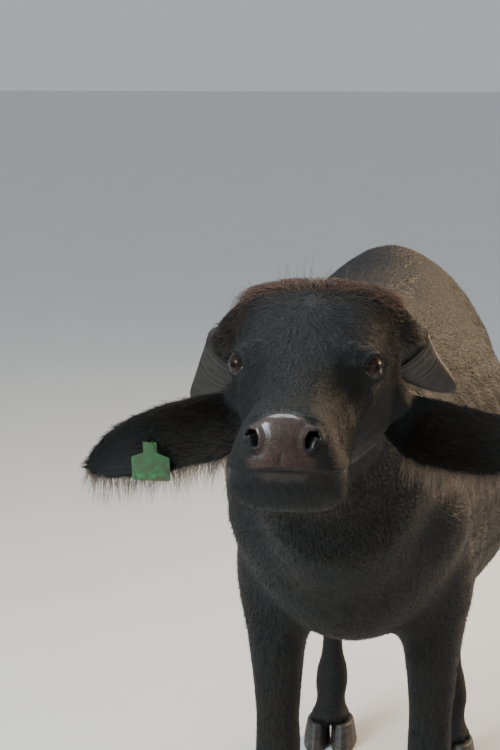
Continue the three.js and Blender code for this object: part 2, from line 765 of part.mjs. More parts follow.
/** The plate with its neck and pin, the button, and the hole that the pin needs. */
function earTag() {
  const { pin, down, facing } = tagPlace();
  const side = new THREE.Vector3().crossVectors(down, facing).normalize();
  const [half, neckHalf, shoulder, corner] = [TAG.width / 2, TAG.neck / 2, 15, 5];
  const foot = shoulder + TAG.height;
  const plate = new THREE.Shape();
  plate.moveTo(-neckHalf, -9);
  plate.lineTo(neckHalf, -9);
  plate.lineTo(neckHalf, 9);
  plate.lineTo(half - corner, shoulder);
  plate.quadraticCurveTo(half, shoulder, half, shoulder + corner);
  plate.lineTo(half, foot - corner);
  plate.quadraticCurveTo(half, foot, half - corner, foot);
  plate.lineTo(corner - half, foot);
  plate.quadraticCurveTo(-half, foot, -half, foot - corner);
  plate.lineTo(-half, shoulder + corner);
  plate.quadraticCurveTo(-half, shoulder, corner - half, shoulder);
  plate.lineTo(-neckHalf, 9);
  plate.closePath();
  const [front, behind] = [6, -34];
  const rod = (radius, from, to) =>
    solidFrom(
      new THREE.CylinderGeometry(radius, radius, to - from, 14),
      axes(side, facing, down.clone().negate(), pin.clone().addScaledVector(facing, (from + to) / 2)),
    );
  const sheet = solidFrom(
    new THREE.ExtrudeGeometry(plate, { depth: TAG.thickness, bevelEnabled: false, curveSegments: 3 }),
    axes(side, down, facing.clone(), pin.clone().addScaledVector(facing, front)),
  );
  return {
    plate: sheet.add(rod(9, front, front + TAG.thickness + 1.5)).add(rod(TAG.pin, behind, front + 1)),
    button: rod(TAG.button, behind - PART_GAP - 3, behind - PART_GAP).add(
      rod(5, behind - PART_GAP - 9, behind - PART_GAP - 2),
    ),
    hole: rod(TAG.pin + PART_GAP, behind - 20, front + 20),
  };
}

// Where the body is parted: the middle of each cut, the way it faces and how wide and deep it reaches
const UPWARDS = new THREE.Vector3(0, 0, 1);
const SHOULDER_CUT = { middle: at(0, 676, 1070), facing: new THREE.Vector3(0, -0.88, 0.47), wide: 760 };
const NAPE_CUT = { middle: headAt(0, -62, -150), facing: headWay(0, 1, 0.16), wide: 236, deep: 420 };
const TAIL_CUT = { middle: at(1, -706, 1190), facing: new THREE.Vector3(0, 0.8, -0.6), wide: 90 };
const SWITCH_CUT = { middle: at(20, -732, SWITCH_TOP), facing: UPWARDS, wide: 120 };
const ELBOW_CUT = { across: 152, forward: 390, height: 612, wide: 250 };
const STIFLE_CUT = { across: 150, forward: -500, height: 754, wide: 280, deep: 480 };
const EAR_CUT_REACH = 62;

/** The thin solids that part the body's limbs from one another. */
function partings() {
  const plates = [SHOULDER_CUT, NAPE_CUT, TAIL_CUT, SWITCH_CUT].map(({ middle, facing, wide, deep }) =>
    partingPlate(middle, facing.clone().normalize(), wide, deep),
  );
  for (const [name, side] of Object.entries(SIDES)) {
    const stride = strideAt(STRIDE[`front_${name}`], ELBOW_CUT.height);
    const elbow = at(ELBOW_CUT.across * side, ELBOW_CUT.forward + stride, ELBOW_CUT.height);
    const stifle = at(STIFLE_CUT.across * side, STIFLE_CUT.forward, STIFLE_CUT.height);
    const stifleWay = new THREE.Vector3(0, -0.5, 1).normalize();
    const hornWay = onSide([HORN_BROAD_WAY], side)[0];
    plates.push(
      partingPlate(elbow, UPWARDS, ELBOW_CUT.wide),
      partingPlate(stifle, stifleWay, STIFLE_CUT.wide, STIFLE_CUT.deep),
      partingDisc(hornPath(name), HORN_ROOT, hornWay, HORN.broad + 4, HORN.thin + 4),
      partingDisc(EAR_PATH[name], EAR_PARTING, headWay(0, 0.3, 1), EAR_CUT_REACH, EAR_CUT_REACH),
    );
  }
  return plates;
}

/** The piece of a parted body that holds a point. */
function pieceHolding(pieces, point) {
  const probe = solidFrom(new THREE.OctahedronGeometry(2), new THREE.Matrix4().setPosition(point));
  const found = pieces.filter((piece) => piece.intersect(probe).volume() > 0);
  return found.sort((a, b) => b.volume() - a.volume())[0];
}

const MATERIALS = {
  hide: { color: 0x23221f, roughness: 0.72, metalness: 0 },
  hair: { color: 0x4a2f1c, roughness: 0.8, metalness: 0 },
  horn: { color: 0x2e2a26, roughness: 0.45, metalness: 0 },
  hoof: { color: 0x2b2723, roughness: 0.5, metalness: 0 },
  eye: { color: 0x1a0f0a, roughness: 0.08, metalness: 0 },
  tag: { color: 0x5c8a3a, roughness: 0.42, metalness: 0 },
};

/** A named mesh of a solid in one of the materials. */
function mesh(name, solid, material) {
  const { numProp, vertProperties, triVerts } = solid.getMesh();
  const count = vertProperties.length / numProp;
  const positions = new Float32Array(count * 3);
  for (let i = 0; i < count; i++)
    positions.set(vertProperties.subarray(i * numProp, i * numProp + 3), i * 3);
  const geometry = new THREE.BufferGeometry();
  geometry.setAttribute("position", new THREE.BufferAttribute(positions, 3));
  geometry.setIndex(new THREE.BufferAttribute(triVerts, 1));
  geometry.computeVertexNormals();
  const made = new THREE.Mesh(geometry, new THREE.MeshStandardMaterial(MATERIALS[material]));
  made.name = name;
  return made;
}

/** The whole buffalo, parted into its named pieces. */
function buffalo() {
  const eyes = { left: eye(SIDES.left), right: eye(SIDES.right) };
  const nostrils = [nostril(SIDES.left), nostril(SIDES.right)];
  const legs = {
    front_left: [FRONT_LEG, SIDES.left],
    front_right: [FRONT_LEG, SIDES.right],
    hind_left: [HIND_LEG, SIDES.left],
    hind_right: [HIND_LEG, SIDES.right],
  };
  const flesh = [torso(), neck(), loft(swell(headRings(), HEAD_SWELLS)), tail()];
  flesh.push(lip(8, 0, LIP_ROLL), lip(-8, 5, LIP_ROLL), ...pollHair(), ...tailSwitch());
  flesh.push(...nostrils.map(({ rim }) => rim), ...Object.values(eyes).map(({ lids }) => lids));
  for (const name of Object.keys(SIDES)) flesh.push(horn(name), earCup(name), earRoot(name));
  const probes = {
    torso: [at(0, 0, 950), "hide"],
    neck: [at(0, 770, 1200), "hide"],
    head: [headAt(0, 200, -100), "hide"],
    tail: [at(8, -754, 960), "hide"],
    tail_switch: [at(22, -732, 520), "hair"],
  };
  for (const name of Object.keys(SIDES)) {
    probes[`horn_${name}`] = [hornPath(name).at(-2), "horn"];
    probes[`ear_${name}`] = [earProbe(name), "hide"];
  }
  const feet = [];
  for (const [name, [rows, side]] of Object.entries(legs)) {
    const stride = STRIDE[name];
    const [height, front, rear, outer, inner] = rows.find(([level]) => level < CANNON);
    flesh.push(leg(rows, side, stride));
    probes[`leg_${name}`] = [
      at(((outer + inner) / 2) * side, (front + rear) / 2 + strideAt(stride, height), height),
      "hide",
    ];
    for (const place of ["outer", "inner"]) {
      feet.push(mesh(`hoof_${name}_${place}`, claw(rows, side, place, stride), "hoof"));
      flesh.push(dewclaw(rows, side, place, stride));
    }
  }
  const tag = earTag();
  const cuts = [...partings(), mouthGroove(), tag.hole, ...nostrils.map(({ hole }) => hole)];
  cuts.push(...Object.values(eyes).map(({ cut }) => cut));
  const whole = wasm.Manifold.union(flesh).subtract(wasm.Manifold.union(cuts));
  const pieces = whole.decompose();
  const group = new THREE.Group();
  for (const [name, [point, material]] of Object.entries(probes))
    group.add(mesh(name, pieceHolding(pieces, point), material));
  group.add(...feet);
  group.add(mesh("eye_left", eyes.left.ball, "eye"), mesh("eye_right", eyes.right.ball, "eye"));
  group.add(mesh("ear_tag_plate", tag.plate, "tag"));
  group.add(mesh("ear_tag_button", tag.button, "tag"));
  return group;
}

const model = buffalo();
const bounds = new THREE.Box3().setFromObject(model);
const middle = bounds.getCenter(new THREE.Vector3());
model.position.set(-middle.x, -middle.y, -bounds.min.z);

export default model;
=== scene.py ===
"""A life-size water buffalo cow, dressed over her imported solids.

The flesh solids are fused into one skin, which is then shaped in code: muzzle, nostrils, lips, lids, folds,
bones and muscles. Eyes, horns, claws and ear tag are pieces of their own, and the coat is joined meshes of
tufts that lie along the skin. Everything is in metres, in the frame of the solids: she faces -Y, +X is her
left side and +Z is up.
"""

import logging
import math
from collections.abc import Iterator
from contextlib import contextmanager
from dataclasses import dataclass
from enum import Enum

import bmesh
import bpy
import numpy as np
from mathutils import Matrix, Vector
from mathutils.bvhtree import BVHTree


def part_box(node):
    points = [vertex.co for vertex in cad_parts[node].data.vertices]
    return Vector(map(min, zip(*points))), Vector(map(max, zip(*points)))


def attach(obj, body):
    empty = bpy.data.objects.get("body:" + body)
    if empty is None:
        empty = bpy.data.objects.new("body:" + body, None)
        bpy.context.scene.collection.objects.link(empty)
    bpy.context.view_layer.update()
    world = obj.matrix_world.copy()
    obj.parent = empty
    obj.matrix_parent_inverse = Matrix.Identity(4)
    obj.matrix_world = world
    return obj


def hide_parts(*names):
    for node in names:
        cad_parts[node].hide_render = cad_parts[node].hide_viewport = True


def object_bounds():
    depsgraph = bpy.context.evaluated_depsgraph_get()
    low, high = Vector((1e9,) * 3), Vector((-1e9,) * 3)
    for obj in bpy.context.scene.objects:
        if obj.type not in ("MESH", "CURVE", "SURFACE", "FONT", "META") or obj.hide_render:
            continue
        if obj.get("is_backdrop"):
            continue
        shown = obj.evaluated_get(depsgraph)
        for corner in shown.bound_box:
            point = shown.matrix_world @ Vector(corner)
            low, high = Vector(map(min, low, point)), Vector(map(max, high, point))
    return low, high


LOG = logging.getLogger("water_buffalo")
BODY = "root"
PATCH = 0.003
SIDES = {"left": 1, "right": -1}
Socket = bpy.types.NodeSocket
Value = Socket | tuple | float

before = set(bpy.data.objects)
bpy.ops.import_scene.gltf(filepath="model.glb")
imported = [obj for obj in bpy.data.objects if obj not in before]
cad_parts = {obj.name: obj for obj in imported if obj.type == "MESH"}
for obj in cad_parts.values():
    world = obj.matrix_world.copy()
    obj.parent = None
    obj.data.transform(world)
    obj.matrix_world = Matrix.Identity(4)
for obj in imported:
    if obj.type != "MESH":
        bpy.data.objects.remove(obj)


class Part(Enum):
    """The parts of the body that the skin is told apart by."""

    TORSO = "torso"
    NECK = "neck"
    HEAD = "head"
    EAR = "ear"
    LEG = "leg"
    TAIL = "tail"


Masks = dict[Part, np.ndarray]


def unit(values: np.ndarray) -> np.ndarray:
    """Rows of vectors at length one."""
    return values / np.maximum(np.linalg.norm(values, axis=-1, keepdims=True), 1e-12)


def near(distance: np.ndarray, reach: float) -> np.ndarray:
    """A smooth weight that is 1 at no distance and fades out past a reach."""
    return np.exp(-((distance / reach) ** 2))


def ramp(values: np.ndarray, start: float, end: float) -> np.ndarray:
    """A smooth weight that rises from 0 at start to 1 at end."""
    share = np.clip((values - start) / (end - start), 0, 1)
    return share * share * (3 - 2 * share)


def mix(a: float | np.ndarray, b: float | np.ndarray, share: float | np.ndarray) -> float | np.ndarray:
    """The value between a and b at a share of the way."""
    return a + (b - a) * share


def node_middle(name: str) -> Vector:
    """The middle of a solid's box.

    Args:
        name: the solid's node.

    Returns:
        The point half way between its corners.
    """
    low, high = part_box(name)
    return (low + high) / 2


@dataclass(frozen=True)
class HeadAxes:
    """The head's own directions: across to her left, along the face to the nose, and up from the face."""

    drop: float = math.radians(6)
    eye_along: float = 0.211
    eye_up: float = -0.046

    @property
    def ways(self) -> np.ndarray:
        """The three directions as rows."""
        c, s = math.cos(self.drop), math.sin(self.drop)
        return np.array([[1, 0, 0], [0, -c, -s], [0, -s, c]])

    @property
    def origin(self) -> np.ndarray:
        """The point on the poll where along and up are zero, found from the eyes."""
        eyes = (node_middle("eye_left") + node_middle("eye_right")) / 2
        return np.array(eyes) - self.ways.T @ np.array([0, self.eye_along, self.eye_up])

    def local(self, points: np.ndarray) -> np.ndarray:
        """Across, along and up of some points."""
        return (np.asarray(points) - self.origin) @ self.ways.T

    def at(self, across: float, along: float, up: float) -> np.ndarray:
        """The place of one point given in the head's own measures."""
        return self.origin + np.array([across, along, up]) @ self.ways

    def way(self, across: float, along: float, up: float) -> np.ndarray:
        """A unit direction given in the head's own measures."""
        return unit(np.array([across, along, up], float) @ self.ways)


HEAD = HeadAxes()


def deselect_all() -> None:
    """Leaves nothing selected, as operators act on all that is."""
    for thing in bpy.context.selected_objects:
        thing.select_set(False)


def activate(thing: bpy.types.Object) -> None:
    """Selects one object alone and makes it the active one.

    Args:
        thing: the object.
    """
    deselect_all()
    thing.select_set(True)
    bpy.context.view_layer.objects.active = thing


@contextmanager
def editing(thing: bpy.types.Object, pick: str = "SELECT") -> Iterator[None]:
    """Edit mode on one object for as long as a block runs.

    Args:
        thing: the object.
        pick: SELECT to begin with all of it selected, DESELECT with nothing.

    Returns:
        Nothing that is used, as the block only needs the mode.
    """
    activate(thing)
    bpy.ops.object.mode_set(mode="EDIT")
    bpy.ops.mesh.select_all(action=pick)
    yield
    bpy.ops.object.mode_set(mode="OBJECT")


def shade_all_smooth(mesh: bpy.types.Mesh) -> None:
    """Marks every face of a mesh as smooth."""
    mesh.polygons.foreach_set("use_smooth", np.ones(len(mesh.polygons), bool))


def vertex_values(collection: bpy.types.bpy_prop_collection, key: str, width: int) -> np.ndarray:
    """One measure of a mesh's vertices.

    Args:
        collection: what holds it, with one entry for each vertex.
        key: the measure's name there.
        width: how many numbers each entry has.

    Returns:
        A row for each vertex.
    """
    flat = np.empty(len(collection) * width, np.float32)
    collection.foreach_get(key, flat)
    return flat.reshape(-1, width).astype(float)


def edge_ends(mesh: bpy.types.Mesh) -> np.ndarray:
    """The two vertices of each edge of a mesh.

    Args:
        mesh: the mesh.

    Returns:
        The first ends as one row and the second as another.
    """
    ends = np.empty(len(mesh.edges) * 2, np.int32)
    mesh.edges.foreach_get("vertices", ends)
    return ends.reshape(-1, 2).T


def apply_modifier(thing: bpy.types.Object, kind: str, **settings) -> None:
    """Adds a modifier, sets it and applies it.

    Args:
        thing: the object to change.
        kind: the modifier's type.
        settings: the modifier's own properties.
    """
    activate(thing)
    modifier = thing.modifiers.new(kind.lower(), kind)
    for key, value in settings.items():
        setattr(modifier, key, value)
    bpy.ops.object.modifier_apply(modifier=modifier.name)


def copy_node(name: str) -> bpy.types.Object:
    """A merged copy of one solid, free to be changed.

    Args:
        name: the solid's node.

    Returns:
        A new object whose loose triangles are joined.
    """
    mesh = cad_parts[name].data.copy()
    copy = bpy.data.objects.new(f"copy_{name}", mesh)
    bpy.context.scene.collection.objects.link(copy)
    weld(mesh, 1e-5)
    mesh.materials.clear()
    return copy


def weld(mesh: bpy.types.Mesh, distance: float) -> None:
    """Merges vertices that lie close together.

    Args:
        mesh: the mesh to change.
        distance: how near they have to be.
    """
    work = bmesh.new()
    work.from_mesh(mesh)
    bmesh.ops.remove_doubles(work, verts=work.verts, dist=distance)
    work.to_mesh(mesh)
    work.free()


def join(things: list[bpy.types.Object], name: str) -> bpy.types.Object:
    """Joins objects into the first of them.

    Args:
        things: the objects, which the first takes up.
        name: the name of the result.

    Returns:
        The joined object.
    """
    deselect_all()
    for thing in things:
        thing.select_set(True)
    bpy.context.view_layer.objects.active = things[0]
    bpy.ops.object.join()
    things[0].name = name
    return things[0]


def coordinates(mesh: bpy.types.Mesh) -> np.ndarray:
    """The places of a mesh's vertices as rows."""
    return vertex_values(mesh.vertices, "co", 3)


def set_coordinates(mesh: bpy.types.Mesh, places: np.ndarray) -> None:
    """Moves a mesh's vertices to new places."""
    mesh.vertices.foreach_set("co", places.astype(np.float32).ravel())
    mesh.update()


def vertex_normals(mesh: bpy.types.Mesh) -> np.ndarray:
    """The outward direction at each vertex."""
    return vertex_values(mesh.vertex_normals, "vector", 3)


def set_attribute(mesh: bpy.types.Mesh, name: str, values: np.ndarray) -> None:
    """Stores one number for each vertex under a name that materials read."""
    attribute = mesh.attributes.get(name) or mesh.attributes.new(name, "FLOAT", "POINT")
    attribute.data.foreach_set("value", values.astype(np.float32))


def read_attribute(mesh: bpy.types.Mesh, name: str) -> np.ndarray:
    """The numbers that a mesh stores for its vertices under a name."""
    return vertex_values(mesh.attributes[name].data, "value", 1)[:, 0]


def smooth(mesh: bpy.types.Mesh, places: np.ndarray, rounds: int, strength: np.ndarray | float) -> np.ndarray:
    """Evens out the places of vertices among their neighbours.

    Args:
        mesh: the mesh whose edges say which vertices are neighbours.
        places: the vertices' places, or any other rows of values.
        rounds: how many times each vertex moves towards its neighbours' middle.
        strength: how far it moves, as a share, for all or for each vertex.

    Returns:
        The new rows.
    """
    a, b = edge_ends(mesh)
    count = len(places)
    degree = np.maximum(np.bincount(a, minlength=count) + np.bincount(b, minlength=count), 1)
    share = np.broadcast_to(np.asarray(strength, float), (count,))[:, None]
    for _ in range(rounds):
        total = np.stack(
            [
                np.bincount(a, places[b, i], count) + np.bincount(b, places[a, i], count)
                for i in range(places.shape[1])
            ],
            axis=1,
        )
        places = places + (total / degree[:, None] - places) * share
    return places


def mesh_object(name: str, points: np.ndarray, faces: list) -> bpy.types.Object:
    """A new object from points and faces, in the scene's collection.

    Args:
        name: its name.
        points: its vertices.
        faces: the vertices' numbers round each face.

    Returns:
        The object.
    """
    mesh = bpy.data.meshes.new(name)
    mesh.from_pydata(points, [], faces)
    mesh.update()
    made = bpy.data.objects.new(name, mesh)
    bpy.context.scene.collection.objects.link(made)
    return made


def keep_largest(thing: bpy.types.Object) -> None:
    """Deletes every loose scrap of a mesh and leaves its largest connected part.

    Args:
        thing: the object to change.
    """
    a, b = edge_ends(thing.data)
    label = np.arange(len(thing.data.vertices))
    while True:
        lowest = np.minimum(label[a], label[b])
        fresh = label.copy()
        np.minimum.at(fresh, a, lowest)
        np.minimum.at(fresh, b, lowest)
        fresh = fresh[fresh]
        if (fresh == label).all():
            break
        label = fresh
    keep = np.bincount(label).argmax()
    work = bmesh.new()
    work.from_mesh(thing.data)
    work.verts.ensure_lookup_table()
    scraps = [work.verts[i] for i in np.nonzero(label != keep)[0]]
    bmesh.ops.delete(work, geom=scraps, context="VERTS")
    work.to_mesh(thing.data)
    work.free()


class Shader:
    """A material's node tree, built with short calls."""

    def __init__(self, name: str) -> None:
        """Starts a material with one Principled shader.

        Args:
            name: the material's name.
        """
        self.material = bpy.data.materials.new(name)
        self.material.use_nodes = True
        self.tree = self.material.node_tree
        self.body = self.tree.nodes["Principled BSDF"]

    def node(self, kind: str, inputs: dict | None = None, **settings) -> bpy.types.Node:
        """Adds a node.

        Args:
            kind: the node's type without its ShaderNode prefix.
            inputs: values or sockets by input name or index.
            settings: the node's own properties.

        Returns:
            The node.
        """
        made = self.tree.nodes.new(f"ShaderNode{kind}")
        for key, value in settings.items():
            setattr(made, key, value)
        for key, value in (inputs or {}).items():
            self.feed(made, key, value)
        return made

    def feed(self, node: bpy.types.Node, key: str | int, value: Value) -> None:
        """Sets one input of a node to a constant, or links a socket to it.

        Args:
            node: the node.
            key: the input's name or index.
            value: a number, a colour or a socket.
        """
        if isinstance(value, Socket):
            self.tree.links.new(value, node.inputs[key])
        elif isinstance(value, tuple) and len(value) == 3 and node.inputs[key].type == "RGBA":
            node.inputs[key].default_value = (*value, 1)
        else:
            node.inputs[key].default_value = value

    def place(self, stretch: tuple[float, float, float] = (1, 1, 1)) -> Socket:
        """Object coordinates, stretched along each axis."""
        source = self.node("TexCoord")
        return self.node("Mapping", {"Vector": source.outputs["Object"], "Scale": stretch}).outputs[0]

    def noise(self, place: Socket, scale: float, detail: float = 4, rough: float = 0.55) -> Socket:
        """The grey value of a noise pattern at a place."""
        settings = {"Vector": place, "Scale": scale, "Detail": detail, "Roughness": rough}
        return self.node("TexNoise", settings).outputs["Fac"]

    def span(self, value: Value, low: float, high: float, to_low: float = 0, to_high: float = 1) -> Socket:
        """Maps a value from one range to another, clamped."""
        inputs = {"Value": value, 1: low, 2: high, 3: to_low, 4: to_high}
        return self.node("MapRange", inputs, clamp=True).outputs[0]

    def blend(self, share: Value, first: Value, second: Value) -> Socket:
        """A colour between two.

        Args:
            share: how much of the second it holds.
            first: the colour at 0.
            second: the colour at 1.

        Returns:
            The colour.
        """
        made = self.node("Mix", data_type="RGBA", clamp_factor=True)
        for key, value in ((0, share), (6, first), (7, second)):
            self.feed(made, key, value)
        return made.outputs[2]

    def math(self, operation: str, first: Value, second: Value = 0.0) -> Socket:
        """The result of one operation on two values."""
        return self.node("Math", {0: first, 1: second}, operation=operation).outputs[0]

    def attribute(self, name: str) -> Socket:
        """The number that a mesh stores under a name."""
        return self.node("Attribute", attribute_name=name).outputs["Fac"]

    def bump(self, height: Value, distance: float, strength: float, under: Socket | None = None) -> Socket:
        """A bumped normal.

        Args:
            height: the grey value that raises it.
            distance: how far 1 raises it, in metres.
            strength: how much of that shows.
            under: another normal that it lies over.

        Returns:
            The normal.
        """
        inputs = {"Height": height, "Distance": distance, "Strength": strength}
        if under is not None:
            inputs["Normal"] = under
        return self.node("Bump", inputs).outputs[0]

    def finish(self, **inputs) -> bpy.types.Material:
        """Feeds the shader's own sockets, named with underscores for spaces, and returns the material."""
        for key, value in inputs.items():
            self.feed(self.body, key.replace("_", " "), value)
        return self.material


@dataclass(frozen=True)
class HideFinish:
    """Dark slate skin under short sparse hair, with a brown pebbled nose pad whose grooves are darkened with
    painted shade.
    """

    slate: tuple = (0.0095, 0.0110, 0.0120)
    brown: tuple = (0.0140, 0.0115, 0.0095)
    hair: tuple = (0.0210, 0.0180, 0.0155)
    pad: tuple = (0.0560, 0.0300, 0.0215)
    lip: tuple = (0.0400, 0.0300, 0.0240)
    pore: tuple = (0.006, 0.006, 0.006)
    pad_mottle: tuple = (0.030, 0.019, 0.015)
    pad_groove_shade: tuple = (0.018, 0.011, 0.009)
    rough: float = 0.66
    rough_bare: float = 0.48
    specular: float = 0.18
    pad_coat: float = 0.03
    coat_rough: float = 0.22

    def fur(self, s: Shader, scale: float, thin: float) -> Socket:
        """The height of short hair that lies the way of the coat.

        Args:
            s: the material.
            scale: how many hair lengths fit in a metre.
            thin: how many times longer than wide a hair is.

        Returns:
            A grey value.
        """
        total = None
        for axis, stretch in (("x", (1, thin, thin)), ("y", (thin, 1, thin)), ("z", (thin, thin, 1))):
            part = s.math("MULTIPLY", s.noise(s.place(stretch), scale, 2, 0.5), s.attribute(f"lie_{axis}"))
            total = part if total is None else s.math("ADD", total, part)
        return total

    def build(self) -> bpy.types.Material:
        """The material, which reads the skin's own masks."""
        s = Shader("hide")
        place = s.place()
        head, pad, lips = s.attribute("head"), s.attribute("pad"), s.attribute("lips")
        patches = s.noise(place, 4, 5, 0.6)
        colour = s.blend(s.span(patches, 0.42, 0.64), self.slate, self.brown)
        coarse, fine = self.fur(s, 34, 9), self.fur(s, 80, 9)
        fur = s.node("Mix", {0: head, 2: coarse, 3: fine}, data_type="FLOAT").outputs[0]
        colour = s.blend(s.span(fur, 0.48, 0.66, 0, 0.7), colour, self.hair)
        grain = s.noise(place, 420, 3, 0.6)
        colour = s.blend(s.span(grain, 0.35, 0.65, 0.35, 0), colour, self.pore)
        cells = s.node("TexVoronoi", {"Vector": place, "Scale": 430}, feature="SMOOTH_F1").outputs["Distance"]
        mottle = s.noise(place, 55, 4, 0.6)
        nose = s.blend(s.span(mottle, 0.4, 0.62), self.pad, self.pad_mottle)
        # Painted shade: the nose pad is darkened in the grooves between its pebbles, where the bump sinks.
        nose = s.blend(s.span(cells, 0.25, 0.6, 0, 0.5), nose, self.pad_groove_shade)
        colour = s.blend(s.math("MULTIPLY", lips, s.span(mottle, 0.3, 0.7, 0.3, 1)), colour, self.lip)
        colour = s.blend(pad, colour, nose)
        bare = s.math("MAXIMUM", pad, lips)
        rough = s.span(bare, 0, 1, self.rough, self.rough_bare)
        wet = s.math("MAXIMUM", s.math("MULTIPLY", pad, self.pad_coat), s.attribute("wet"))
        wrinkle = s.node("TexVoronoi", {"Vector": place, "Scale": 130}, feature="DISTANCE_TO_EDGE")
        cracks = s.span(wrinkle.outputs["Distance"], 0.0, 0.08)
        normal = s.bump(cracks, 0.0006, 0.35)
        normal = s.bump(grain, 0.0006, 0.35, normal)
        normal = s.bump(s.math("MULTIPLY", fur, s.span(bare, 0, 1, 1, 0)), 0.0030, 0.75, normal)
        normal = s.bump(s.math("MULTIPLY", s.span(cells, 0, 1, 1, 0), bare), 0.0011, 0.7, normal)
        return s.finish(
            Base_Color=colour,
            Roughness=rough,
            Specular_IOR_Level=self.specular,
            Normal=normal,
            Coat_Weight=wet,
            Coat_Roughness=self.coat_rough,
        )


class Surface:
    """Places, directions and masks of the finished skin, for whatever grows on it."""

    def __init__(self, skin: bpy.types.Object, masks: Masks) -> None:
        """Reads the skin's triangles.

        Args:
            skin: the finished skin.
            masks: which part each vertex belongs to.
        """
        mesh = skin.data
        mesh.calc_loop_triangles()
        self.masks = masks
        self.places = coordinates(mesh)
        self.normals = vertex_normals(mesh)
        corners = np.empty(len(mesh.loop_triangles) * 3, np.int32)
        mesh.loop_triangles.foreach_get("vertices", corners)
        self.corners = corners.reshape(-1, 3)
        a, b, c = (self.places[self.corners[:, i]] for i in range(3))
        self.areas = np.linalg.norm(np.cross(b - a, c - a), axis=1) / 2
        self.lie = self.coat_directions(mesh)

    def coat_directions(self, mesh: bpy.types.Mesh) -> np.ndarray:
        """The way the coat lies at each vertex, along the skin.

        Args:
            mesh: the skin's mesh.

        Returns:
            One unit direction for each vertex.
        """
        local = HEAD.local(self.places)
        whorl = local - np.array([0, 0.125, 0])
        radial = unit(whorl * np.array([1.0, 1.0, 0.25]) + np.array([1e-4, 0, 0]))
        sweep = np.stack([np.sign(local[:, 0]) * 0.35, 0 * local[:, 1], -ramp(-local[:, 2], 0.03, 0.15)], 1)
        back = np.tile([0, -0.7, -0.5], (len(local), 1)) * ramp(-local[:, 2], 0.10, 0.2)[:, None]
        on_head = (radial + sweep + back) @ HEAD.ways
        outwards = np.sign(self.places[:, :1]) * np.array([[1.0, 0, -0.25]])
        ways = {
            Part.TORSO: np.array([[0, 0.85, -0.5]]),
            Part.NECK: np.array([[0, 0.85, -0.6]]),
            Part.HEAD: on_head,
            Part.EAR: outwards,
            Part.LEG: np.array([[0, 0.18, -1.0]]),
            Part.TAIL: np.array([[0, 0.1, -1.0]]),
        }
        total = sum(self.masks[part][:, None] * way for part, way in ways.items())
        for _ in range(3):
            total = smooth(mesh, total, 4, 0.6)
            total -= self.normals * (total * self.normals).sum(1, keepdims=True)
            total = unit(total)
        return total

    def rims(self) -> np.ndarray:
        """How sharply the skin turns at each vertex, which is most along the thin edges of the ears."""
        even, count = self.normals.copy(), len(self.normals)
        times = np.maximum(np.bincount(self.corners.ravel(), minlength=count) * 3, 1)
        for _ in range(4):
            sums = np.zeros_like(even)
            for i in range(3):
                for j in range(3):
                    to, of = self.corners[:, i], self.corners[:, j]
                    for axis in range(3):
                        sums[:, axis] += np.bincount(to, even[of, axis], count)
            even = sums / times[:, None]
        return ramp(1 - np.linalg.norm(even, axis=1), 0.10, 0.30)

    def below_middle(self, part: Part) -> np.ndarray:
        """Where a part that is held out to each side lies below its own middle line.

        Args:
            part: the part.

        Returns:
            A share for each vertex.
        """
        below = np.zeros(len(self.places))
        for side in SIDES.values():
            chosen = (self.masks[part] > 0.5) & (self.places[:, 0] * side > 0)
            out, height = self.places[chosen, 0], self.places[chosen, 2]
            line = np.polyval(np.polyfit(out, height, 3), out)
            below[chosen] = ramp(line - height, 0.006, 0.018)
        return below

    def scatter(self, density: np.ndarray, spacing: float, rng: np.random.Generator) -> dict[str, np.ndarray]:
        """Draws places evenly over the skin.

        Args:
            density: the share of the full density at each vertex.
            spacing: the mean distance between places at full density.
            rng: the source of random numbers.

        Returns:
            Places, normals, lie directions and one near vertex of the drawn roots.
        """
        weight = self.areas * density[self.corners].mean(1)
        total = weight.cumsum()
        count = int(total[-1] / spacing**2)
        chosen = np.searchsorted(total, (np.arange(count) + rng.random(count)) / count * total[-1])
        chosen = np.minimum(chosen, len(weight) - 1)
        a, b = rng.random((2, count))
        flip = a + b > 1
        a, b = np.where(flip, 1 - a, a), np.where(flip, 1 - b, b)
        shares = np.stack([1 - a - b, a, b], 1)[:, :, None]
        picked = self.corners[chosen]
        return {
            "places": (self.places[picked] * shares).sum(1),
            "normals": unit((self.normals[picked] * shares).sum(1)),
            "lie": unit((self.lie[picked] * shares).sum(1)),
            "vertex": picked[:, 0],
        }


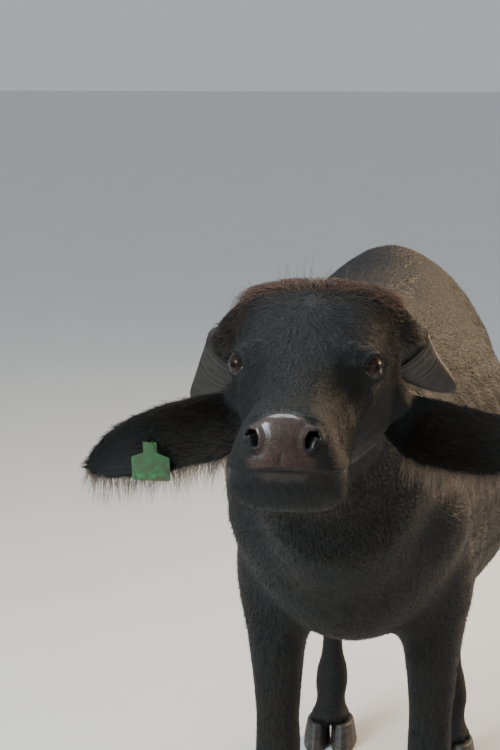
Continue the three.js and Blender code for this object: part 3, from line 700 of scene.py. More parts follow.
@dataclass
class Skin:
    """The one skin over all the flesh."""

    head_nodes: tuple = ("head", "neck", "ear_left", "ear_right", "eye_left", "eye_right")
    trunk_nodes: tuple = ("torso", "neck", "tail") + tuple(
        f"leg_{end}_{side}" for end in ("front", "hind") for side in ("left", "right")
    )
    head_voxel: float = 0.0033
    trunk_voxel: float = 0.0125
    most_faces: int = 196_000
    seam_point: tuple = (0.0, -0.455, 1.16)
    seam_way: tuple = (0.0, -0.9, 0.436)
    seam_gap: float = 0.012
    dock: tuple = (0.002, 1.036, 1.128)
    dock_plug: float = 0.021
    dock_stretch: float = 1.5
    dock_step: float = -0.03
    nostril_plug: float = 0.019
    eye_spot: float = 0.042
    nostril_spot: float = 0.036
    chin_spot: float = 0.1
    foot: float = 0.13
    above_foot: float = 0.24

    @property
    def replaced(self) -> list[str]:
        """The solids whose flesh this skin shows."""
        return sorted({name for name in (*self.head_nodes, *self.trunk_nodes) if not name.startswith("eye")})

    def plug(self, place: Vector | np.ndarray, radius: float, stretch: float = 1.0) -> bpy.types.Object:
        """A ball that fills a gap between the solids or a coarse hole in one.

        Args:
            place: its middle.
            radius: its size.
            stretch: how many times taller than wide it is.

        Returns:
            The object.
        """
        bpy.ops.mesh.primitive_uv_sphere_add(segments=24, ring_count=12, radius=radius, location=place)
        bpy.context.object.scale.z = stretch
        bpy.ops.object.transform_apply(location=True, rotation=False, scale=True)
        return bpy.context.object

    def clear_poll(self, half: bpy.types.Object) -> None:
        """Presses the solid locks of the poll down to the dome under them, as finer hair takes their place.

        Args:
            half: the front half of the skin.
        """
        places = coordinates(half.data)
        local = HEAD.local(places)
        folded = np.abs(local[:, 0])
        stations = (-0.12, -0.062, -0.006, 0.05, 0.118, 0.13)
        heights = (-0.09, -0.046, 0.013, 0.030, 0.028, 0.027)
        dome = np.interp(local[:, 1], stations, heights)
        dome = dome - 0.017 * np.minimum(folded / 0.106, 1) ** 2 - 0.9 * np.maximum(folded - 0.106, 0)
        high = (local[:, 2] > dome) & (local[:, 1] < 0.13)
        local[:, 2] = np.where(high, dome, local[:, 2])
        set_coordinates(half.data, HEAD.origin + local @ HEAD.ways)

    def part(self, names: tuple, voxel: float, keep_front: bool) -> bpy.types.Object:
        """Fuses copies of solids and cuts the result at the seam across the neck.

        Args:
            names: the solids' nodes.
            voxel: the size of the remesh's cells.
            keep_front: True to keep what lies before the seam.

        Returns:
            The open half of the skin.
        """
        copies = [copy_node(name) for name in names]
        if keep_front:
            holes = [HEAD.at(0.036 * side, 0.443, -0.072) for side in SIDES.values()]
            copies += [self.plug(hole, self.nostril_plug) for hole in holes]
        else:
            gaps = [Vector(self.dock) + Vector((0, 0, drop)) for drop in (0.0, self.dock_step)]
            copies += [self.plug(gap, self.dock_plug, self.dock_stretch) for gap in gaps]
        half = join(copies, "skin_head" if keep_front else "skin_trunk")
        if keep_front:
            self.clear_poll(half)
        apply_modifier(half, "REMESH", mode="VOXEL", voxel_size=voxel, use_smooth_shade=True)
        shift = 0 if keep_front else -self.seam_gap
        with editing(half):
            bpy.ops.mesh.bisect(
                plane_co=Vector(self.seam_point) + Vector(self.seam_way) * shift,
                plane_no=self.seam_way,
                clear_inner=keep_front,
                clear_outer=not keep_front,
            )
        keep_largest(half)
        return half

    def label(self, skin: bpy.types.Object) -> Masks:
        """Soft masks that say which part of the body each vertex belongs to.

        Args:
            skin: the joined skin.

        Returns:
            A share for each vertex under each part.
        """
        parts = list(Part)
        copies = [copy_node(name) for name in self.replaced]
        part_of_face = []
        for name, copy in zip(self.replaced, copies):
            part_of_face += [parts.index(Part(name.split("_")[0]))] * len(copy.data.polygons)
        together = join(copies, "labels")
        tree = bmesh.new()
        tree.from_mesh(together.data)
        finder = BVHTree.FromBMesh(tree)
        tree.free()
        found = np.array([part_of_face[finder.find_nearest(v.co)[2]] for v in skin.data.vertices])
        bpy.data.objects.remove(together)
        shares = smooth(skin.data, np.eye(len(parts))[found], 10, 0.6)
        return {part: shares[:, i] for i, part in enumerate(parts)}

    def refine(self, skin: bpy.types.Object, spots: list[tuple[np.ndarray, float]]) -> None:
        """Splits the faces round some spots.

        Args:
            skin: the skin.
            spots: the place and reach of each.
        """
        activate(skin)
        places = coordinates(skin.data)
        close = np.zeros(len(places), bool)
        for spot, reach in spots:
            close |= np.linalg.norm(places - spot, axis=1) < reach
        sizes = np.empty(len(skin.data.polygons), np.int32)
        skin.data.polygons.foreach_get("loop_total", sizes)
        corners = np.empty(len(skin.data.loops), np.int32)
        skin.data.loops.foreach_get("vertex_index", corners)
        starts = np.concatenate([[0], sizes.cumsum()[:-1]])
        chosen = np.minimum.reduceat(close[corners].astype(np.int8), starts).astype(bool)
        skin.data.vertices.foreach_set("select", np.zeros(len(places), bool))
        skin.data.edges.foreach_set("select", np.zeros(len(skin.data.edges), bool))
        skin.data.polygons.foreach_set("select", chosen)
        bpy.ops.object.mode_set(mode="EDIT")
        bpy.ops.mesh.select_mode(type="FACE")
        bpy.ops.mesh.subdivide(number_cuts=1)
        bpy.ops.object.mode_set(mode="OBJECT")

    def soft_spots(self, places: np.ndarray) -> np.ndarray:
        """Where the coarse locks, lips and rims of the solids are evened out before finer ones are shaped.

        Args:
            places: the skin's vertices.

        Returns:
            A share for each vertex.
        """
        _, along, up = HEAD.local(places).T
        poll = near(along - 0.02, 0.10) * ramp(up, -0.09, -0.03)
        lips = near(up - Face().mouth_line(along), 0.026) * ramp(along, 0.32, 0.36)
        centres = [Nostril(side).centre for side in SIDES.values()]
        rims = sum(near(np.linalg.norm(places - centre, axis=1), 0.028) for centre in centres)
        return np.clip(poll + lips + rims, 0, 1)

    def fuse(self) -> bpy.types.Object:
        """The two halves of the skin, bridged into one closed surface."""
        front = self.part(self.head_nodes, self.head_voxel, True)
        back = self.part(self.trunk_nodes, self.trunk_voxel, False)
        skin = join([front, back], "skin")
        with editing(skin, "DESELECT"):
            bpy.ops.mesh.select_mode(type="EDGE")
            bpy.ops.mesh.select_non_manifold(extend=False, use_boundary=True, use_wire=False)
            bpy.ops.mesh.bridge_edge_loops()
        return skin

    def even_out(self, skin: bpy.types.Object) -> None:
        """Smooths the steps of the remesh, least on ears, tail and feet.

        Args:
            skin: the fused skin.
        """
        masks = self.label(skin)
        places = coordinates(skin.data)
        ear = masks[Part.EAR]
        fine = ramp(masks[Part.HEAD] + ear + masks[Part.NECK] * (places[:, 1] < -0.46), 0.3, 0.9)
        above = ramp(places[:, 2], self.foot, self.above_foot)
        firm = (1 - 0.8 * ear) * (1 - 0.9 * masks[Part.TAIL]) * above
        places = smooth(skin.data, places, 8, 0.5 * firm)
        places = smooth(skin.data, places, 40, 0.5 * fine * (1 - ear) ** 2)
        places = smooth(skin.data, places, 70, 0.5 * self.soft_spots(places) * (1 - ear) ** 2)
        set_coordinates(skin.data, places)

    def refine_face(self, skin: bpy.types.Object) -> None:
        """Gives eyes, nostrils and mouth finer faces, and makes all faces triangles.

        Args:
            skin: the evened skin.
        """
        spots = []
        for side in SIDES.values():
            spots.append((EyeSocket(side).centre, self.eye_spot))
            spots.append((HEAD.at(0.036 * side, 0.455, -0.069), self.nostril_spot))
        self.refine(skin, spots + [(HEAD.at(0, 0.43, -0.135), self.chin_spot)])
        self.refine(skin, [(spot, reach * 0.74) for spot, reach in spots])
        with editing(skin):
            bpy.ops.mesh.quads_convert_to_tris()

    def shape(self, skin: bpy.types.Object) -> Masks:
        """Shapes trunk and face, and thins the mesh to its most faces.

        Args:
            skin: the refined skin.

        Returns:
            The masks of the parts.
        """
        masks = self.label(skin)
        places = coordinates(skin.data)
        above = ramp(places[:, 2], self.foot, self.above_foot)
        firm = (1 - masks[Part.EAR]) * (1 - masks[Part.TAIL]) * above
        places = smooth(skin.data, places, 3, 0.5 * firm)
        set_coordinates(skin.data, places)
        places = Trunk().shape(places, vertex_normals(skin.data), masks)
        set_coordinates(skin.data, places)
        set_coordinates(skin.data, Face().shape(skin.data, places, masks))
        for part, values in masks.items():
            set_attribute(skin.data, part.value, values)
        if len(skin.data.polygons) > self.most_faces:
            ratio = self.most_faces / len(skin.data.polygons)
            apply_modifier(skin, "DECIMATE", ratio=ratio, use_collapse_triangulate=True)
            masks = {part: read_attribute(skin.data, part.value) for part in masks}
        return masks

    def store(self, skin: bpy.types.Object, surface: Surface) -> None:
        """Stores what the hide's finish reads at each vertex.

        Args:
            skin: the shaped skin.
            surface: its places and directions.
        """
        face, places = Face(), surface.places
        for name, mask in (("pad", face.pad), ("lips", face.lips), ("wet", face.wet)):
            set_attribute(skin.data, name, mask(places))
        for name, share in zip(("lie_x", "lie_y", "lie_z"), (surface.lie**2).T):
            set_attribute(skin.data, name, share)

    def build(self) -> Surface:
        """Makes the skin.

        Returns:
            Its surface, on which the coat grows.
        """
        skin = self.fuse()
        self.even_out(skin)
        self.refine_face(skin)
        masks = self.shape(skin)
        shade_all_smooth(skin.data)
        surface = Surface(skin, masks)
        self.store(skin, surface)
        LOG.info("skin: %d points, %d faces", len(surface.places), len(skin.data.polygons))
        skin.data.materials.append(HideFinish().build())
        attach(skin, BODY)
        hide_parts(*self.replaced)
        return surface


@dataclass(frozen=True)
class Swell:
    """A place on both sides of the body where the skin is pushed out, or in, by bone or muscle."""

    spot: tuple[float, float, float]
    reach: tuple[float, float, float]
    push: float

    def weight(self, folded: np.ndarray) -> np.ndarray:
        """How strongly it acts at places whose X is folded to one side."""
        return np.exp(-(((folded - np.array(self.spot)) / np.array(self.reach)) ** 2).sum(1))


@dataclass
class Trunk:
    """Bones, muscles and folds of the trunk and legs."""

    coat_depth: float = 0.002
    coronet_roll: float = 0.006
    rib_depth: float = 0.0022
    rib_gap: float = 0.062
    swells: tuple = (
        Swell((0.19, -0.10, 1.14), (0.022, 0.05, 0.13), 0.007),
        Swell((0.20, 0.00, 1.06), (0.10, 0.04, 0.12), -0.006),
        Swell((0.21, -0.20, 0.93), (0.08, 0.05, 0.07), 0.010),
        Swell((0.20, -0.02, 0.80), (0.06, 0.05, 0.06), 0.010),
        Swell((0.20, 0.66, 1.20), (0.05, 0.04, 0.04), 0.013),
        Swell((0.27, 0.60, 1.13), (0.06, 0.06, 0.07), -0.017),
        Swell((0.10, 0.98, 1.14), (0.04, 0.05, 0.04), 0.008),
        Swell((0.23, 0.40, 0.84), (0.07, 0.14, 0.06), 0.006),
        Swell((0.21, 0.62, 0.78), (0.05, 0.05, 0.06), 0.012),
        Swell((0.22, 0.80, 0.95), (0.06, 0.04, 0.14), 0.006),
        Swell((0.20, 0.90, 0.95), (0.06, 0.02, 0.16), -0.006),
    )

    def shape(self, places: np.ndarray, normals: np.ndarray, masks: Masks) -> np.ndarray:
        """Moves the skin of the trunk.

        Args:
            places: the skin's vertices.
            normals: their directions.
            masks: which part each belongs to.

        Returns:
            The new places.
        """
        folded = np.abs(places * np.array([1, 0, 0])) + places * np.array([0, 1, 1])
        push = sum(swell.push * swell.weight(folded) for swell in self.swells)
        chest = Swell((0.30, 0.22, 1.02), (0.16, 0.26, 0.15), self.rib_depth).weight(folded)
        slant = places[:, 1] + 0.30 * places[:, 2]
        ribs = self.rib_depth * chest * np.cos(slant / self.rib_gap * 2 * math.pi)
        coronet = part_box("hoof_front_left_outer")[1].z
        push = push + ribs + self.coronet_roll * (1 - ramp(places[:, 2], coronet + 0.006, coronet + 0.034))
        body = 1 - masks[Part.HEAD] - masks[Part.EAR]
        return places + normals * ((push - self.coat_depth) * np.clip(body, 0, 1))[:, None]


@dataclass
class EyeSocket:
    """The opening between the lids of one eye."""

    side: int
    radius: float = 0.022
    half_length: float = 0.0180
    upper_height: float = 0.0150
    lower_height: float = 0.0138
    tilt: float = math.radians(-12)

    @property
    def centre(self) -> np.ndarray:
        """The middle of the eyeball."""
        return np.array(node_middle("eye_left" if self.side > 0 else "eye_right"))

    @property
    def axes(self) -> np.ndarray:
        """Rows: along the opening to the nose, across it upwards, and out through its middle."""
        out = HEAD.way(0.73 * self.side, 0.66, 0.14)
        long = HEAD.way(-0.25 * self.side, math.cos(self.tilt), -math.sin(self.tilt))
        long = unit(long - out * (long @ out))
        tall = np.cross(out, long)
        return np.stack([long, tall * np.sign(tall @ HEAD.ways[2]), out])

    def local(self, places: np.ndarray) -> np.ndarray:
        """Places in the eye's own directions."""
        return (places - self.centre) @ self.axes.T

    def from_edge(self, long: np.ndarray, tall: np.ndarray) -> np.ndarray:
        """How far outside the edge of the opening places lie.

        Args:
            long: their distance from its middle towards the nose.
            tall: their distance above its middle.

        Returns:
            The distances, below zero inside the opening.
        """
        upper = ramp(tall, -0.002, 0.002)
        height = mix(self.lower_height, self.upper_height, upper)
        lean = np.abs(long + 0.0010 * upper) / self.half_length
        value = lean**2.2 + np.abs(tall - 0.001) / height - 1
        slope = np.hypot(2.2 * lean**1.2 / self.half_length, 1 / height)
        return value / slope

    def shape(self, places: np.ndarray) -> np.ndarray:
        """Forms the lids over the ball, with a crease above and below.

        Args:
            places: the skin's vertices.

        Returns:
            The new places.
        """
        local = self.local(places)
        long, tall, out = local.T
        reach = np.sqrt(long**2 + tall**2)
        margin = self.from_edge(long, tall)
        upper = ramp(tall, -0.004, 0.004)
        edge = 0.8 * self.radius
        dome = np.sqrt(self.radius**2 - np.minimum(reach, edge) ** 2)
        behind = np.sqrt(np.maximum(self.radius**2 - reach**2, 0))
        on_ball = dome + 0.0003 + mix(0.0020, 0.0034, upper) * ramp(margin, 0, 0.0032)
        on_ball = on_ball - 0.5 * np.maximum(reach - edge, 0) * ramp(tall, 0.004, 0.016)
        nose_side = ramp(long, 0.0, 0.02)
        lid = mix(on_ball, out, ramp(margin, 0.0015, mix(0.0165, 0.024, nose_side)))
        inner = np.maximum(behind - 0.0055, math.sqrt(self.radius**2 - edge**2) - 0.0045)
        inner = np.minimum(inner, dome - 0.0010)
        target = np.where(margin < 0, mix(on_ball, inner, ramp(-margin, 0, 0.0014)), lid)
        crease = mix(0.0066, 0.0078, upper)
        target = target - mix(0.0008, 0.0015, upper) * near(margin - crease, 0.0015)
        folds = np.cos((margin - 0.0125) / 0.0046 * 2 * math.pi) * 0.0003
        target = target + folds * ramp(margin, 0.009, 0.013) * (1 - ramp(margin, 0.018, 0.030))
        active = (out > -0.016) & (reach < 0.07)
        moved = local.copy()
        moved[:, 2] = np.where(active, target, out)
        return moved @ self.axes + self.centre


@dataclass
class Nostril:
    """One comma-shaped nostril with its rolled wing."""

    side: int
    depth: float = 0.024
    spine: tuple = ((-0.002, -0.009), (-0.003, -0.001), (-0.001, 0.006), (0.005, 0.009), (0.010, 0.006))
    girth: tuple = (0.0036, 0.0052, 0.0054, 0.0036, 0.0014)

    @property
    def centre(self) -> np.ndarray:
        """The middle of the opening."""
        return HEAD.at(0.0385 * self.side, 0.461, -0.067)

    @property
    def axes(self) -> np.ndarray:
        """Rows: outwards across the nostril, up it, and out of it."""
        out = HEAD.way(0.42 * self.side, 1, 0.32)
        tall = HEAD.way(0.35 * self.side, -0.15, 1)
        tall = unit(tall - out * (tall @ out))
        across = np.cross(tall, out)
        return np.stack([across * np.sign(across[0] * self.side), tall, out])

    def from_edge(self, plane: np.ndarray) -> np.ndarray:
        """How far outside the edge of the opening places lie.

        Args:
            plane: their distances across and up from its middle.

        Returns:
            The distances, below zero inside the opening.
        """
        spine, girth = np.array(self.spine), np.array(self.girth)
        nearest = np.full(len(plane), 1e3)
        for i in range(len(spine) - 1):
            step = spine[i + 1] - spine[i]
            share = np.clip(((plane - spine[i]) @ step) / (step @ step), 0, 1)
            gap = np.linalg.norm(plane - spine[i] - share[:, None] * step, axis=1)
            nearest = np.minimum(nearest, gap - mix(girth[i], girth[i + 1], share))
        return nearest

    def shape(self, places: np.ndarray) -> np.ndarray:
        """Sinks the opening and its outer slit, and raises the wing round them.

        Args:
            places: the skin's vertices.

        Returns:
            The new places.
        """
        local = (places - self.centre) @ self.axes.T
        across, tall, out = local.T
        plane = np.stack([across, tall], 1)
        inside = self.from_edge(plane)
        sink = self.depth * ramp(-inside, -0.0012, 0.0056)
        wing = ramp(across, -0.004, 0.006)
        rim = mix(0.0012, 0.0034, wing) * near(inside - 0.0036, 0.0032)
        rim = rim - 0.0012 * near(inside - 0.0115, 0.004)
        active = (np.abs(out) < 0.03) & (np.linalg.norm(plane, axis=1) < 0.05)
        moved = local.copy()
        moved[:, 2] += np.where(active, rim - sink, 0)
        moved[:, 0] += np.where(active, -0.004 * ramp(sink, 0.004, 0.024), 0)
        return moved @ self.axes + self.centre


@dataclass
class Face:
    """The fine forms of the head."""

    mouth_front: float = 0.480
    mouth_corner: float = 0.352
    mouth_level: float = -0.102
    mouth_fall: float = 0.036
    poll_sink: float = -0.003
    coat_depth: float = 0.0015
    chin_back: float = 0.009
    bones: tuple = (
        Swell((0.070, 0.250, -0.035), (0.016, 0.05, 0.03), -0.003),
        Swell((0.086, 0.290, -0.105), (0.02, 0.06, 0.013), 0.004),
        Swell((0.090, 0.235, -0.150), (0.03, 0.035, 0.03), -0.005),
        Swell((0.094, 0.120, -0.150), (0.04, 0.05, 0.05), 0.005),
        Swell((0.070, 0.330, -0.090), (0.03, 0.05, 0.02), -0.003),
        Swell((0.0, 0.30, -0.01), (0.016, 0.10, 0.05), 0.002),
    )

    def mouth_line(self, along: np.ndarray) -> np.ndarray:
        """How far below the line of the face the lips meet, at distances along it."""
        share = np.clip((self.mouth_front - along) / (self.mouth_front - self.mouth_corner), 0, None)
        return self.mouth_level - self.mouth_fall * share**0.62

    def pad(self, places: np.ndarray) -> np.ndarray:
        """The mask of the bare nose pad, which runs between the nostrils down to the lip.

        Args:
            places: the skin's vertices.

        Returns:
            A share for each vertex.
        """
        across, along, up = HEAD.local(places).T
        wide = 0.030 + 0.018 * ramp(up, -0.068, -0.052) + 0.014 * ramp(-up, 0.076, 0.098)
        wide = wide + 0.0016 * np.sin(up * 900 + across * 200)
        soft = 0.0025 + 0.006 * ramp(-up, 0.080, 0.095)
        sides = 1 - ramp(np.abs(across), wide - soft, wide + soft)
        edge = 0.440 + 5.0 * across**2
        top = ramp(along, edge, edge + 0.006)
        return sides * top * ramp(up - self.mouth_line(along), 0.000, 0.004)

    def wet(self, places: np.ndarray) -> np.ndarray:
        """The mask of the wet edges of lids and nostrils and of the wet top of the nose pad.

        Args:
            places: the skin's vertices.

        Returns:
            A share for each vertex.
        """
        shine = np.zeros(len(places))
        for side in SIDES.values():
            socket = EyeSocket(side)
            long, tall, out = socket.local(places).T
            lid = near(socket.from_edge(long, tall) - 0.0006, 0.0013)
            shine = np.maximum(shine, lid * (np.abs(out) < 0.03) * (np.hypot(long, tall) < 0.03))
            nostril = Nostril(side)
            around = (places - nostril.centre) @ nostril.axes.T
            lip = 0.6 * near(nostril.from_edge(around[:, :2]) - 0.0002, 0.0015)
            shine = np.maximum(shine, lip * (np.linalg.norm(around, axis=1) < 0.03))
        across, along, up = HEAD.local(places).T
        crest = near(along - 0.454 - 5.0 * across**2, 0.012) * ramp(up, -0.068, -0.056)
        return np.maximum(shine, crest * (1 - ramp(np.abs(across), 0.042, 0.052)))

    def lips(self, places: np.ndarray) -> np.ndarray:
        """The mask of the bare edge of the lower lip.

        Args:
            places: the skin's vertices.

        Returns:
            A share for each vertex.
        """
        across, along, up = HEAD.local(places).T
        below = self.mouth_line(along) - up
        deep = 0.014 + 0.002 * np.sin(across * 260 + 0.7) - 0.008 * ramp(np.abs(across), 0.015, 0.045)
        band = ramp(below, 0.001, 0.004) * (1 - ramp(below, deep - 0.005, deep + 0.005))
        return band * ramp(along, 0.43, 0.455) * (1 - ramp(np.abs(across), 0.020, 0.055))

    def mouth(self, places: np.ndarray, normals: np.ndarray) -> np.ndarray:
        """Parts the lips with a groove, rolls and swells them, and raises the top edge of the nose pad.

        Args:
            places: the skin's vertices.
            normals: their directions.

        Returns:
            The new places.
        """
        across, along, up = HEAD.local(places).T
        sway = 0.0009 * np.sin(across * 95 + 0.6) * (1 - ramp(np.abs(across), 0.03, 0.06))
        above = up - self.mouth_line(along) - sway
        there = ramp(along, self.mouth_corner - 0.004, self.mouth_corner + 0.03)
        side = ramp(np.abs(across), 0.03, 0.07)
        wave = 0.5 + 0.5 * np.sin(across * 140 + 1.0) * np.sin(across * 57 + 0.4)
        groove = -mix(0.0030, 0.0036, side) * near(above, 0.0017)
        overhang = mix(0.0016, 0.0024, side) * near(above - 0.0050, 0.0048)
        upper = (0.0012 + 0.0005 * wave) * near(above - 0.0130, 0.0085)
        lower = mix(0.0016, -0.0020, side) * near(above + 0.0100, 0.0075)
        lower = lower - 0.0018 * near(above + 0.0240, 0.0085)
        middle = 1 - 0.35 * near(across, 0.012)
        push = (groove + overhang + upper * middle + lower) * there
        philtrum = -0.0016 * near(across, 0.0022) * ramp(-up, 0.078, 0.09) * ramp(above, 0.002, 0.008)
        philtrum = philtrum * ramp(along, 0.44, 0.46)
        crest = along - (0.447 + 5.0 * across**2)
        brow = 0.0036 * near(crest - 0.004, 0.010) * near(across, 0.046) - 0.0016 * near(crest + 0.009, 0.006)
        brow = brow * (1 - ramp(np.abs(across), 0.040, 0.060)) * ramp(up, -0.075, -0.060)
        moved = places + normals * (push + philtrum + brow)[:, None]
        short = ramp(-above, -0.002, 0.006) * (1 - ramp(-above, 0.040, 0.075)) * ramp(along, 0.38, 0.46)
        return moved - HEAD.ways[1] * (self.chin_back * short)[:, None]

    def folds(self, places: np.ndarray, normals: np.ndarray) -> np.ndarray:
        """Shallow skin folds across the bridge of the nose and behind the corner of the mouth.

        Args:
            places: the skin's vertices.
            normals: their directions.

        Returns:
            The new places.
        """
        across, along, up = HEAD.local(places).T
        bridge = near(along - 0.415, 0.028) * near(across, 0.05) * ramp(up, -0.09, -0.05)
        push = 0.0006 * np.cos((along + 0.35 * np.abs(across)) / 0.0075 * 2 * math.pi) * bridge
        corner = near(along - 0.345, 0.022) * near(up + 0.142, 0.028) * ramp(np.abs(across), 0.03, 0.05)
        push += 0.0011 * np.cos((along - 0.25 * up) / 0.009 * 2 * math.pi) * corner
        return places + normals * push[:, None]

    def shape(self, mesh: bpy.types.Mesh, places: np.ndarray, masks: Masks) -> np.ndarray:
        """Moves the skin of the head.

        Args:
            mesh: the skin's mesh, whose normals are read again between steps.
            places: its vertices.
            masks: which part each belongs to.

        Returns:
            The new places.
        """
        local = HEAD.local(places)
        folded = np.abs(local * np.array([1, 0, 0])) + local * np.array([0, 1, 1])
        push = sum(bone.push * bone.weight(folded) for bone in self.bones)
        poll = near(local[:, 1] - 0.01, 0.06) * ramp(local[:, 2], -0.06, -0.01)
        push = push - self.coat_depth - self.poll_sink * poll
        on_head = np.clip(masks[Part.HEAD], 0, 1)
        places = places + vertex_normals(mesh) * (push * on_head)[:, None]
        set_coordinates(mesh, places)
        places = self.mouth(places, vertex_normals(mesh))
        places = self.folds(places, vertex_normals(mesh))
        for side in SIDES.values():
            places = Nostril(side).shape(places)
            places = EyeSocket(side).shape(places)
        return places


@dataclass(frozen=True)
class Strand:
    """The shape that the hairs of one piece share."""

    length: float
    width: float
    rise: float = 0.35
    sag: float = 0.22
    droop: float = 0.0
    segments: int = 2
    sink: float = 0.001

    @property
    def points(self) -> int:
        """How many points one hair has: three for each ring and one for its tip."""
        return 3 * self.segments + 1


@dataclass
class Roots:
    """The hairs of one piece, with a row for each in every field.

    They are its place, its unit direction along the skin, the skin's own direction, its length, its width at
    the root, the place of its root on the unwrap of the skin, and how pale it is, from 0 to 1.
    """

    places: np.ndarray
    headings: np.ndarray
    outward: np.ndarray
    lengths: np.ndarray
    widths: np.ndarray
    spots: np.ndarray
    tones: np.ndarray


def hair_arrays(roots: Roots, strand: Strand) -> tuple[np.ndarray, np.ndarray]:
    """Points and triangles of many tapered three-sided hairs.

    Args:
        roots: the hairs.
        strand: how they bend.

    Returns:
        The points of one hair after the other, rings first and then the tip, and the triangles.
    """
    rings, lengths = strand.segments, roots.lengths
    side = unit(np.cross(roots.headings, roots.outward))
    points = []
    for ring in range(rings + 1):
        t = ring / rings
        bend = strand.rise * t - strand.sag * t * t
        centre = (
            roots.places
            + roots.headings * (lengths * t * (1 - 0.2 * abs(bend)))[:, None]
            + roots.outward * (lengths * bend - strand.sink * (ring == 0))[:, None]
        )
        centre[:, 2] -= strand.droop * lengths * t * t
        if ring == rings:
            points.append(centre[:, None])
            continue
        half = (roots.widths / 2 * (1 - 0.75 * t**1.4))[:, None]
        ridge = centre + roots.outward * half * 0.8
        points.append(np.stack([centre - side * half, centre + side * half, ridge], 1))
    stack = np.concatenate(points, 1)
    faces = [(0, 1, 2)]
    for ring in range(rings - 1):
        for i in range(3):
            a, b = 3 * ring + i, 3 * ring + (i + 1) % 3
            faces += [(a, a + 3, b), (b, a + 3, b + 3)]
    last = 3 * (rings - 1)
    faces += [(last + i, strand.points - 1, last + (i + 1) % 3) for i in range(3)]
    firsts = np.arange(len(lengths)) * strand.points
    triangles = (np.array(faces)[None] + firsts[:, None, None]).reshape(-1, 3)
    return stack.reshape(-1, 3), triangles


def hair_mesh(name: str, roots: Roots, strand: Strand) -> bpy.types.Object:
    """One joined piece of many hairs, with its patches in the map named OFBake.

    Args:
        name: the piece's name.
        roots: the hairs.
        strand: how they bend.

    Returns:
        The object.
    """
    points, triangles = hair_arrays(roots, strand)
    per, count = strand.points, len(roots.lengths)
    mesh = bpy.data.meshes.new(name)
    mesh.vertices.add(len(points))
    mesh.vertices.foreach_set("co", points.astype(np.float32).ravel())
    mesh.loops.add(triangles.size)
    mesh.loops.foreach_set("vertex_index", triangles.astype(np.int32).ravel())
    mesh.polygons.add(len(triangles))
    mesh.polygons.foreach_set("loop_start", np.arange(0, triangles.size, 3, dtype=np.int32))
    mesh.update(calc_edges=True)
    shade_all_smooth(mesh)
    ring = np.minimum(np.arange(per) // 3, strand.segments)
    along = np.tile(ring / strand.segments, count)
    across = np.tile(np.where(np.arange(per) == per - 1, 0.5, (np.arange(per) % 3) / 2), count)
    patch = np.repeat(roots.spots, per, axis=0) + (np.stack([across, along], 1) - 0.5) * PATCH
    layer = mesh.uv_layers.new(name="OFBake")
    layer.data.foreach_set("uv", patch[triangles.ravel()].astype(np.float32).ravel())
    set_attribute(mesh, "tip", along)
    set_attribute(mesh, "tone", np.repeat(roots.tones, per))
    made = bpy.data.objects.new(name, mesh)
    bpy.context.scene.collection.objects.link(made)
    return made


def turned(sine: np.ndarray, cosine: np.ndarray) -> np.ndarray:
    """How far round a middle line places lie, from 0 to 1."""
    return np.arctan2(sine, cosine) / (2 * math.pi) + 0.5


def unwrap(points: np.ndarray, parts: np.ndarray) -> np.ndarray:
    """The place of points on an unwrap of the skin, a cell for each part of the body.

    Args:
        points: places on the skin.
        parts: the number of the part that each belongs to.

    Returns:
        Two numbers from 0 to 1 for each point.
    """
    x, y, z = points.T
    across, along, up = HEAD.local(points).T
    left = (x > 0).astype(float)
    flat = np.zeros((len(points), 2))
    cells = {
        Part.TORSO: (turned(x, z - 0.95), (y + 0.6) / 1.8, (0.0, 0.5, 0.5, 0.5)),
        Part.NECK: (turned(x, z - 1.15), (y + 0.7) / 0.6, (0.5, 0.75, 0.25, 0.25)),
        Part.HEAD: (turned(across, up + 0.11), (along + 0.1) / 0.62, (0.5, 0.5, 0.25, 0.25)),
        Part.EAR: ((np.abs(x) - 0.1) / 0.28, (z - 1.08) / 0.24, (0.75, 0.5, 0.25, 0.5)),
        Part.LEG: (turned(np.abs(x) - 0.15, (y + 0.03) % 0.9 - 0.06), z / 1.0, (0.0, 0.0, 0.75, 0.5)),
        Part.TAIL: (turned(x, y - 1.05), z / 1.3, (0.75, 0.0, 0.25, 0.5)),
    }
    for number, part in enumerate(Part):
        u, v, (start, low, wide, tall) = cells[part]
        here = parts == number
        if part is Part.EAR:
            v = (v * 0.5 + 0.5 * left) % 1
        if part is Part.LEG:
            u = (np.clip(u, 0, 1) + left * 2 + (y > 0.4)) / 4
        u, v = np.clip(u, 0.01, 0.99), np.clip(v, 0.01, 0.99)
        flat[here] = np.stack([start + u * wide, low + v * tall], 1)[here]
    return flat


@dataclass(frozen=True)
class HairFinish:
    """Coarse hair, darker at the root, from black to red-brown."""

    name: str
    root: tuple
    tip: tuple
    sheen: float = 0.0
    rough: float = 0.52
    specular: float = 0.22

    def build(self) -> bpy.types.Material:
        """The material, which reads each hair's own tone and how near the tip it is."""
        s = Shader(self.name)
        tone = s.math("MULTIPLY", s.attribute("tone"), s.span(s.attribute("tip"), 0.0, 0.8, 0.25, 1.0))
        patches = s.span(s.noise(s.place(), 7, 3), 0.35, 0.65, 0.5, 1.0)
        share = s.math("MULTIPLY", tone, patches)
        return s.finish(
            Base_Color=s.blend(share, self.root, self.tip),
            Roughness=self.rough,
            Specular_IOR_Level=self.specular,
            Sheen_Weight=self.sheen,
        )


